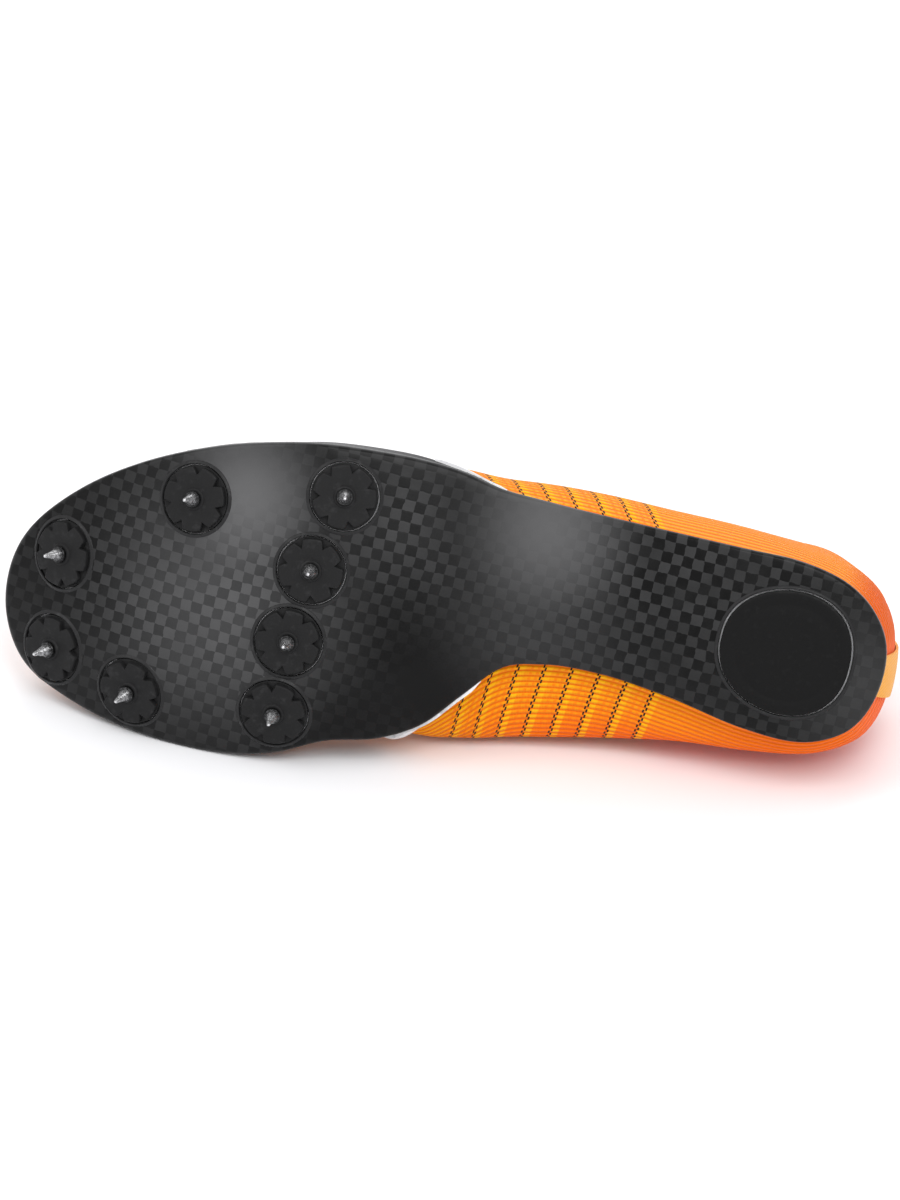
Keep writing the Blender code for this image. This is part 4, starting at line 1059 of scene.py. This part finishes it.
def build_plate():
    """The carbon plate with its side walls, pod recesses and heel pad recess."""
    columns = []
    for angle, side in RING:
        top = max(rim_height(angle, side), EDGE_ROUND * 1.5)
        column = [fillet_point(angle, side, turn) for turn in np.linspace(0, pi / 2, EDGE_STEPS + 1)]
        column += [wall_point(angle, side, height)
                   for height in np.linspace(EDGE_ROUND, top, WALL_ROWS + 1)[1:]]
        columns.append(column)
    rows = np.array(columns).swapaxes(0, 1)
    points, faces = floor_sheet(rows[0], EDGE_ROUND, 0)
    count = len(RING)
    lower = 0
    for row in rows[1:]:
        upper = len(points)
        points.extend(row)
        for i in range(count):
            j = (i + 1) % count
            faces.append((lower + i, lower + j, upper + j, upper + i))
        lower = upper
    made = new_mesh("sole_plate", points, faces, [CARBON])
    face_up(made)
    thicken(made, PLATE_THICKNESS, 1)
    openings = round_cutter("pod_cutter", POD_PLACES, POD_DIAMETER + 2 * SEAT_GAP,
                            5 * PLATE_THICKNESS, OPENING_SIDES)
    outline = egg_outline(PAD_LENGTH + 3 * SEAT_GAP, PAD_WIDTH + 3 * SEAT_GAP)
    depth = UP * 4 * PLATE_THICKNESS
    pad_opening = loft("pad_opening", [moved(outline + shift, PAD_PLACE) for shift in (-depth, depth)],
                       None)
    cut(made, openings, pad_opening)
    places = points_of(made.data)
    places[:, 2] -= underside(places[:, 0], places[:, 1])
    keep(made.data, "sole", places * 1000)
    finish_piece(made, ["outsole_plate"], 50)


PAD_PLACE = (Matrix.Translation((PAD_ALONG * SOLE_LENGTH, PAD_OUT * BALL_WIDTH, 0))
             @ Matrix.Rotation(PAD_TURN, 4, "Z"))
POD_PLACES = [sole_frame(along * SOLE_LENGTH, out * BALL_WIDTH) for along, out in POD_ROWS]

# Section of the carbon lip round a pod: distance from the opening's edge and height, in mm
LIP_SECTION = ((0, -0.9), (0, 0.16), (0.10, 0.38), (0.26, 0.46), (0.46, 0.38), (0.85, 0.12),
               (1.40, -0.08), (1.40, -0.5))

# The rim round the heel pad, in the same way
RIM_SECTION = ((0, -1.0), (0, 0.14), (0.2, 0.30), (0.6, 0.26), (1.3, -0.05), (1.3, -0.6))


def build_rim(name, plans, section):
    """A raised carbon rim, laid along the sole's own curve."""
    rings = [on_sole(plan[:, 0], plan[:, 1], -height / 1000)
             for plan, (_, height) in zip(plans, section)]
    finish_piece(loft(name, rings, CARBON_LIP, True))


def build_lip(number, place):
    """The lip round a pod."""
    build_rim(f"pod_lip_{number}",
              [moved(circle(POD_DIAMETER / 2 + SEAT_GAP + out / 1000, 0, LIP_SIDES), place)
               for out, _ in LIP_SECTION], LIP_SECTION)


# A pod's section from the rim in: share of the outline's radius, height in mm, and how deep
# the notches cut there
POD_SECTION = ((1, -1.4, 0), (1, -0.30, 0), (0.985, -0.25, 0), (0.955, -0.25, 1), (0.953, 0.85, 1),
               (0.948, 1.25, 1), (0.934, 1.48, 1), (0.912, 1.57, 0.95), (0.88, 1.60, 0.8),
               (0.80, 1.60, 0.4), (0.72, 1.60, 0), (0.60, 1.60, 0), (0.45, 1.60, 0),
               (0.37, 1.58, 0), (0.335, 1.57, 0), (0.318, 1.90, 0), (0.30, 2.04, 0),
               (0.27, 2.08, 0), (0.235, 2.02, 0), (0.20, 1.2, 0))

# The notches: where they are round the pod, half their width in radians and their depth
NOTCH_TURNS = (0.0, 0.9, 1.78, 2.74, 3.64, 4.5, 5.42)
NOTCH_HALF = 0.15
NOTCH_REACH = 0.0024


def build_pod(number, place):
    """A rubber pod: a flower-edged disc with a boss round the pin."""
    turns = 2 * pi * np.arange(POD_SIDES) / POD_SIDES
    nearest = np.min([np.abs((turns - turn + pi) % (2 * pi) - pi) for turn in NOTCH_TURNS], axis=0)
    notch = np.maximum(0, 1 - nearest / NOTCH_HALF) ** 0.8 * NOTCH_REACH
    rings = [circle(POD_DIAMETER / 2 * share - notch * depth, height / 1000, POD_SIDES)
             for share, height, depth in POD_SECTION]
    made = loft(f"pod_{number}", rings, POD_RUBBER)
    made.data.transform(place @ Matrix.Rotation(number * 0.7, 4, "Z"))
    finish_piece(made, [f"spike_pod_{number}"], 40)


# The pin's cone above its flange: radius as a share of PIN_DIAMETER, height of PIN_LENGTH
PIN_CONE = ((0.31, 0.34), (0.255, 0.48), (0.21, 0.6), (0.155, 0.80))


def build_pin(number, place):
    """A steel pin: a dished flange, a ring and a tapered cone with a rounded tip."""
    base = POD_PROUD + BOSS_HEIGHT + SEAT_GAP
    tip = base + PIN_LENGTH
    top = base + PIN_FLANGE
    wide = PIN_DIAMETER / 2
    fine = PIN_TIP_DIAMETER / 2
    profile = [(0, base - SHANK_LENGTH), (SHANK_DIAMETER / 2, base - SHANK_LENGTH),
               (SHANK_DIAMETER / 2, base),
               (wide * 0.93, base), (wide, base + 0.00012), (wide, base + 0.00065),
               (wide * 0.94, top), (wide * 0.84, top), (wide * 0.72, top + 0.0006)]
    profile += [(PIN_DIAMETER * share, base + PIN_LENGTH * rise) for share, rise in PIN_CONE]
    profile += [(fine * 1.12, tip - 0.0005), (fine * 0.92, tip - 0.0002),
                (fine * 0.5, tip - 0.00004), (0, tip)]
    made = lathe(f"pin_{number}", profile, PIN_SIDES, STEEL)
    keep(made.data, "local", points_of(made.data) * 1000)
    made.data.transform(place)
    finish_piece(made, [f"spike_pin_{number}"], 35)


# Section of the heel pad: distance in from its outline and height, in mm
PAD_SECTION = ((0, 1.15), (0, -0.10), (0.3, -0.28), (0.8, -0.38), (1.6, -0.40), (4.0, -0.39),
               (4.4, -0.33), (4.9, -0.33), (5.3, -0.39), (9.0, -0.40))


def build_heel_pad():
    """The flat rubber pad, its edge rounded, and the thin carbon rim round it."""
    outline = egg_outline(PAD_LENGTH, PAD_WIDTH)
    rings = [outline * (1 - inset / 500 / PAD_LENGTH) + UP * height / 1000
             for inset, height in PAD_SECTION]
    made = loft("heel_pad_face", rings, PAD_RUBBER)
    made.data.transform(PAD_PLACE)
    finish_piece(made, ["heel_pad"], 40)
    plans = [moved(outline * (1 + (3 * SEAT_GAP + out / 500) / PAD_LENGTH), PAD_PLACE)
             for out, _ in RIM_SECTION]
    build_rim("heel_pad_rim", plans, RIM_SECTION)


def build_layer(name, inset, depth, thickness, material, node):
    """A layer inside the shoe that follows its sole."""
    ring = [inset_point(angle, side, inset, depth) for angle, side in RING]
    points, faces = floor_sheet(ring, inset, depth)
    made = new_mesh(name, points, faces, [material])
    face_up(made)
    thicken(made, thickness, 1)
    finish_piece(made, [node], 50)


def fabric_corners(made, values):
    """Keep a knit's own coordinates on the mesh's corners, so that cuts keep them."""
    mesh = made.data
    corners = np.zeros(len(mesh.loops), dtype=int)
    mesh.loops.foreach_get("vertex_index", corners)
    keep(mesh, "fabric", np.array(values)[corners], "CORNER")


def build_upper():
    """The hollow knit upper with its lining and punched eyelets."""
    ribs = np.array([rib(angle, side) for angle, side in RING])
    count, per_rib = ribs.shape[:2]
    points = ribs.reshape(-1, 3)
    made = new_mesh("knit_upper", points, grid_faces(count, per_rib, looped=True), [KNIT, LINING])
    padding = made.vertex_groups.new(name="padding")
    thin = UPPER_WALL / (UPPER_WALL + COLLAR_PADDING)
    values = []
    for i, (angle, side) in enumerate(RING):
        travel = travelled(ribs[i])
        behind = collar_share(length_at(angle) / SOLE_LENGTH)
        middle = min(1.0, 4 * sin(pi * angle))
        for row in range(per_rib):
            near_top = min(max((row / (per_rib - 1) - PADDING_START) / PADDING_SPAN, 0), 1)
            padding.add([i * per_rib + row], thin + (1 - thin) * behind * near_top, "REPLACE")
            values.append((ribs[i, row, 0] * 1000, travel[row] * 1000, side * middle))
    centre = np.mean(points, axis=0)
    if sum(np.dot(np.array(f.center) - centre, f.normal) * f.area for f in made.data.polygons) < 0:
        made.data.flip_normals()
    fabric_corners(made, values)
    shell = thicken(made, UPPER_WALL + COLLAR_PADDING, -1)
    shell.use_even_offset = True
    shell.vertex_group = padding.name
    shell.material_offset = 1
    shell.material_offset_rim = 0
    places = [Matrix.Translation(Vector(eyelet)) @ facing(normal) for pair in PAIRS
              for eyelet, normal in pair]
    cut(made, round_cutter("eyelet_cutter", places, EYELET_DIAMETER, 5 * UPPER_WALL,
                           EYELET_SIDES))
    finish_piece(made, ["upper"], 60)


PAIRS = eyelets()

# How far the stitched ring stands outside an eyelet and above the knit, and half its thread
RING_OUT = 0.0003
RING_UP = 0.0001
RING_THREAD = 0.00042


def build_eyelet(number, name, centre, normal):
    """A stitched ring round an eyelet."""
    path = moved(circle(EYELET_DIAMETER / 2 + RING_OUT, 0, RING_POINTS), facing(normal))
    made = tube(f"eyelet_{name}_{number}", path + centre + normal * RING_UP, RING_THREAD, 8, BINDING,
                True)
    finish_piece(made)


# How far the binding stands out of the edge it covers
BINDING_PROUD = 0.0003


def build_binding():
    """The rolled edge round the collar and the throat."""
    path = []
    radii = []
    for angle, side in RING:
        point, normal = rib_at(angle, side, 0)
        wall = UPPER_WALL + COLLAR_PADDING * collar_share(length_at(angle) / SOLE_LENGTH)
        path.append(point - normal * wall / 2)
        radii.append(wall / 2 + BINDING_PROUD)
    finish_piece(tube("collar_binding", path, radii, 12, BINDING, True))


def build_tongue():
    """The soft tongue under the laces."""
    rows = []
    for along in TONGUE_ALONG:
        edges, flaps = [[under_upper(even_angle(along), side, down) for side in (1, -1)]
                        for down in (TONGUE_HEM, TONGUE_FLAP)]
        middle = (edges[0] + edges[1]) / 2 + UP * TONGUE_CROWN
        rows.append([flaps[0], edges[0], middle, edges[1], flaps[1]])
    for flap_along, edge_along, reach in TONGUE_FRONT:
        down = TONGUE_HEM + (TONGUE_FLAP - TONGUE_HEM) * reach
        flaps = [under_upper(even_angle(flap_along), side, TONGUE_FLAP) for side in (1, -1)]
        edges = [under_upper(even_angle(edge_along), side, down) for side in (1, -1)]
        rows.append([flaps[0], edges[0], under_upper(TONGUE_NOSE, 1, down), edges[1], flaps[1]])
    middle = rows[0][2]
    rise = unit(unit(middle - rows[1][2]) * TONGUE_SLOPE[0] + UP * TONGUE_SLOPE[1])
    rows = [[middle + rise * TONGUE_RISE * share + (point - middle) * TONGUE_NARROWING
             for point in rows[0]] for share in TONGUE_TOP] + rows
    points = [point for row in rows for point in across_points(row, TONGUE_POINTS)]
    made = new_mesh("tongue_knit", points, grid_faces(len(rows), TONGUE_POINTS), [TONGUE_KNIT])
    face_up(made)
    fine = made.modifiers.new("fine", "SUBSURF")
    fine.levels = 3
    fine.render_levels = 3
    fine.boundary_smooth = "PRESERVE_CORNERS"
    thicken(made, TONGUE_THICKNESS * 0.94, -1)
    evaluated(made)
    bevel = made.modifiers.new("edge", "BEVEL")
    bevel.limit_method = "ANGLE"
    bevel.angle_limit = radians(60)
    bevel.width = 0.0006
    bevel.segments = 3
    evaluated(made)
    x, y, _ = points_of(made.data).T * 1000
    fabric_corners(made, np.stack([x, y + 200, y * 0 + 1], axis=1))
    finish_piece(made, ["tongue"], 60)


# A lace bar: its handles as a share of its span, the round at its ends, how far each end dives
# through its eyelet, and its width where it does, as a share
LACE_HANDLE = 0.35
LACE_ROUND = 0.0010
LACE_DIVE = 0.0012
LACE_PINCH = 0.74


def build_lace(number, pair):
    """A flat lace bar over the throat, both ends turned down through their eyelets."""
    clear = 2 * SEAT_GAP + LACE_THICKNESS / 2
    lifts = [normal for _, normal in pair]
    ends = [centre + normal * clear for centre, normal in pair]
    run = ends[1] - ends[0]
    starts, handles, dives = [], [], []
    for end, lift, toward in zip(ends, lifts, (run, -run)):
        inward = unit(toward - lift * np.dot(toward, lift))
        start = end + inward * LACE_ROUND
        starts.append(start)
        handles.append(start + inward * np.linalg.norm(run) * LACE_HANDLE)
        dive = [start - LACE_ROUND * (inward * sin(turn) + lift * (1 - cos(turn)))
                for turn in np.linspace(0, pi / 2, 6)[1:]]
        dives.append(dive + [dive[-1] - lift * LACE_DIVE * step for step in (1, 2)])
    path = [*dives[0][::-1], *bezier(starts[0], *handles, starts[1], BAR_POINTS), *dives[1]]
    count = len(path)
    shares = np.clip((np.arange(count) - 6) / (count - 13), 0, 1)
    axes = [np.cross(run, lifts[0] * (1 - share) + lifts[1] * share) for share in shares]
    radii = [LACE_WIDTH / 2 * (LACE_PINCH + (1 - LACE_PINCH) * min(i / 9, (count - 1 - i) / 9, 1))
             for i in range(count)]
    made = tube(f"lace_{number}", path, radii, 20, LACE, flat=LACE_THICKNESS / LACE_WIDTH,
                wide_axis=axes)
    finish_piece(made, [f"lace_bar_{number}"], 70)


def build_heel_tape():
    """The woven tape up the back of the heel."""
    near_heel = np.linspace(ANGLE_STEP, ANGLES[STATIONS // 4], 400)
    columns = []
    for out in TAPE_OUT + np.linspace(-1, 1, 17) * TAPE_WIDTH / 2:
        side = 1 if out >= 0 else -1
        reach = np.hypot(length_at(near_heel), edge_out(near_heel, side))
        line = rib(float(np.interp(abs(out), reach, near_heel)), side)
        travel = travelled(line)
        at = np.linspace(TAPE_FOOT, travel[-1] - TAPE_HEAD, TAPE_ROWS)
        columns.append(np.stack([np.interp(at, travel, line[:, axis]) for axis in range(3)], axis=1))
    grid = np.array(columns)
    normals = np.cross(np.gradient(grid, axis=1), np.gradient(grid, axis=0))
    normals *= np.where(normals[..., :1] > 0, -1, 1) / np.linalg.norm(normals, axis=-1, keepdims=True)
    points = (grid + normals * (SEAT_GAP + TAPE_THICKNESS / 2)).reshape(-1, 3)
    made = new_mesh("heel_tape_woven", points, grid_faces(len(columns), TAPE_ROWS), [TAPE])
    thicken(made, TAPE_THICKNESS, 0)
    finish_piece(made, ["heel_tape"], 60)


# How deep a strip is sunk into what carries it
STRIP_SUNK = 0.0007


def build_edge_strip(name, side, start, end, low, high, lift):
    """A pale strip along the top of the plate's wall, from one share of its length to another."""
    rings = []
    for along in np.linspace(start, end, STRIP_STEPS):
        angle = float(even_angle(along))
        top = rim_height(angle, side)
        wall = [wall_point(angle, side, top + step) for step in (low, (low + high) / 2, high)]
        foot = inset_point(angle, side, 0, 0)
        ahead = inset_point(min(angle + ANGLE_STEP, 1), side, 0, 0) - foot
        out = np.array([-ahead[1], ahead[0], 0.0]) / np.hypot(ahead[0], ahead[1])
        out *= np.sign(out[1]) * side
        proud = lift * min(1.0, 8 * min(along - start, end - along) / (end - start) + 0.2)
        face = [point + out * (max(0.0, np.dot(foot - point, out)) + proud) for point in wall]
        rings.append([*face, wall[2] - out * STRIP_SUNK, wall[0] - out * STRIP_SUNK])
    finish_piece(loft(name, rings, TRIM), (), 50)


# The studio: half the floor's side, the strength of the surround, what the lights aim at, and
# their names, places and sizes in metres, and power in watts
FLOOR_HALF = 10.0
SURROUND = 0.80
LIGHT_AIM = (0.0, 0.0, 0.05)
LIGHTS = (("key", (0.5, -1.3, 1.7), 1.2, 22.0),
          ("fill", (-1.2, -0.6, 1.5), 1.4, 12.0),
          ("back", (0.2, 1.5, 1.8), 1.6, 14.0))


def area_light(name, place, size, power):
    """A soft square light aimed at the shoe."""
    light = bpy.data.lights.new(name, "AREA")
    light.size = size
    light.energy = power
    made = link(name, light)
    made.location = place
    made.rotation_mode = "QUATERNION"
    made.rotation_quaternion = (Vector(LIGHT_AIM) - Vector(place)).to_track_quat("-Z", "Y")


# The camera in the upright frame: what it looks at in metres, the direction to it, the
# picture's upward direction, its distance in metres and the height of the view there
VIEW_AT = (0.1380, 0.01436, 0.0)
VIEW_FROM = (-0.0861, 0.1395, -0.9860)
VIEW_UP = (0.0121, 0.990, 0.139)
VIEW_DISTANCE = 6.0
VIEW_HEIGHT = 0.37915


def build_camera():
    """The photograph's view of the sole, carried into the lying frame."""
    turn = LYING.to_3x3()
    back = (turn @ Vector(VIEW_FROM)).normalized()
    right = (turn @ Vector(VIEW_UP)).cross(back).normalized()
    data = bpy.data.cameras.new("camera")
    data.sensor_fit = "VERTICAL"
    data.sensor_height = 36.0
    data.lens = data.sensor_height * VIEW_DISTANCE / VIEW_HEIGHT
    data.clip_start = 0.01
    data.clip_end = 100.0
    place = Matrix((right, back.cross(right), back)).transposed().to_4x4()
    place.translation = LYING @ Vector(VIEW_AT) + back * VIEW_DISTANCE
    made = link("camera", data)
    made.matrix_world = place
    bpy.context.scene.camera = made


def build_studio():
    """A pale floor, a soft white surround and broad lights."""
    shade = Shade("pale_floor", grey(0.88), 0.9, Specular_IOR_Level=0.1)
    clouds = shade.noise(shade.place(), 0.002)
    shade.plug("Base Color", shade.mix(clouds, grey(0.87), grey(0.89)))
    corners = [(x * FLOOR_HALF, y * FLOOR_HALF, 0) for x, y in ((-1, -1), (1, -1), (1, 1), (-1, 1))]
    floor = new_mesh("floor", corners, [(0, 1, 2, 3)], [shade.made])
    world = bpy.data.worlds.new("studio")
    world.use_nodes = True
    surround = world.node_tree.nodes["Background"].inputs
    surround["Color"].default_value = (1.0, 1.0, 1.0, 1.0)
    surround["Strength"].default_value = SURROUND
    bpy.context.scene.world = world
    for light in LIGHTS:
        area_light(*light)
    bpy.context.scene.view_settings.view_transform = "Standard"


CARBON = carbon_material()
CARBON_LIP = rubber_material("carbon_edge", 0.020, 0.30, 1.2)
POD_RUBBER = rubber_material("pod_rubber_grain", 0.0125, 0.50, 1.8)
PAD_RUBBER = rubber_material("pad_rubber_grain", 0.0045, 0.46, 1.3)
STEEL = steel_material()
KNIT = knit_material("upper_knit", True)
TONGUE_KNIT = knit_material("tongue_knit_plain", False)
LINING = cloth_material("lining_cloth", (0.035, 0.035, 0.038), 0.85, 1.1, 0.00005)
INSOLE = cloth_material("insole_brushed", (0.07, 0.07, 0.078), 0.90, 0.9, 0.00006)
LACE = cloth_material("lace_woven", (0.045, 0.045, 0.050), 0.80, 0.9, 0.00008)
BINDING = cloth_material("binding_woven", (0.95, 0.22, 0.010), 0.70, 0.8, 0.00006)
TAPE = cloth_material("tape_woven", (0.88, 0.36, 0.003), 0.60, 1.0, 0.00006)
TRIM = trim_material()
FOAM = foam_material()

build_camera()
build_studio()
build_plate()
build_layer("foam_sheet", EDGE_SETBACK, FOAM_DEPTH, FOAM_THICKNESS, FOAM, "foam_layer")
build_layer("insole_sheet", EDGE_SETBACK + UPPER_WALL + INSOLE_CLEARANCE * SEAT_GAP,
            UPPER_DEPTH + SEAT_GAP / 2, INSOLE_THICKNESS, INSOLE, "insole")
build_upper()
build_binding()
build_tongue()
for number, place in enumerate(POD_PLACES, 1):
    build_lip(number, place)
    build_pod(number, place)
    build_pin(number, place)
build_heel_pad()
build_heel_tape()
for number, pair in enumerate(PAIRS, 1):
    build_lace(number, pair)
    for name, (centre, normal) in zip(("lateral", "medial"), pair):
        build_eyelet(number, name, centre, normal)
build_edge_strip("wing_trim_medial", -1, 0.455, 0.566, -0.0010, 0.0005, 0.0009)
build_edge_strip("wing_trim_lateral", 1, 0.425, 0.505, -0.0008, 0.0004, 0.0005)
build_edge_strip("foam_edge_line", -1, 0.006, 0.090, -0.0001, 0.0005, 0.0)
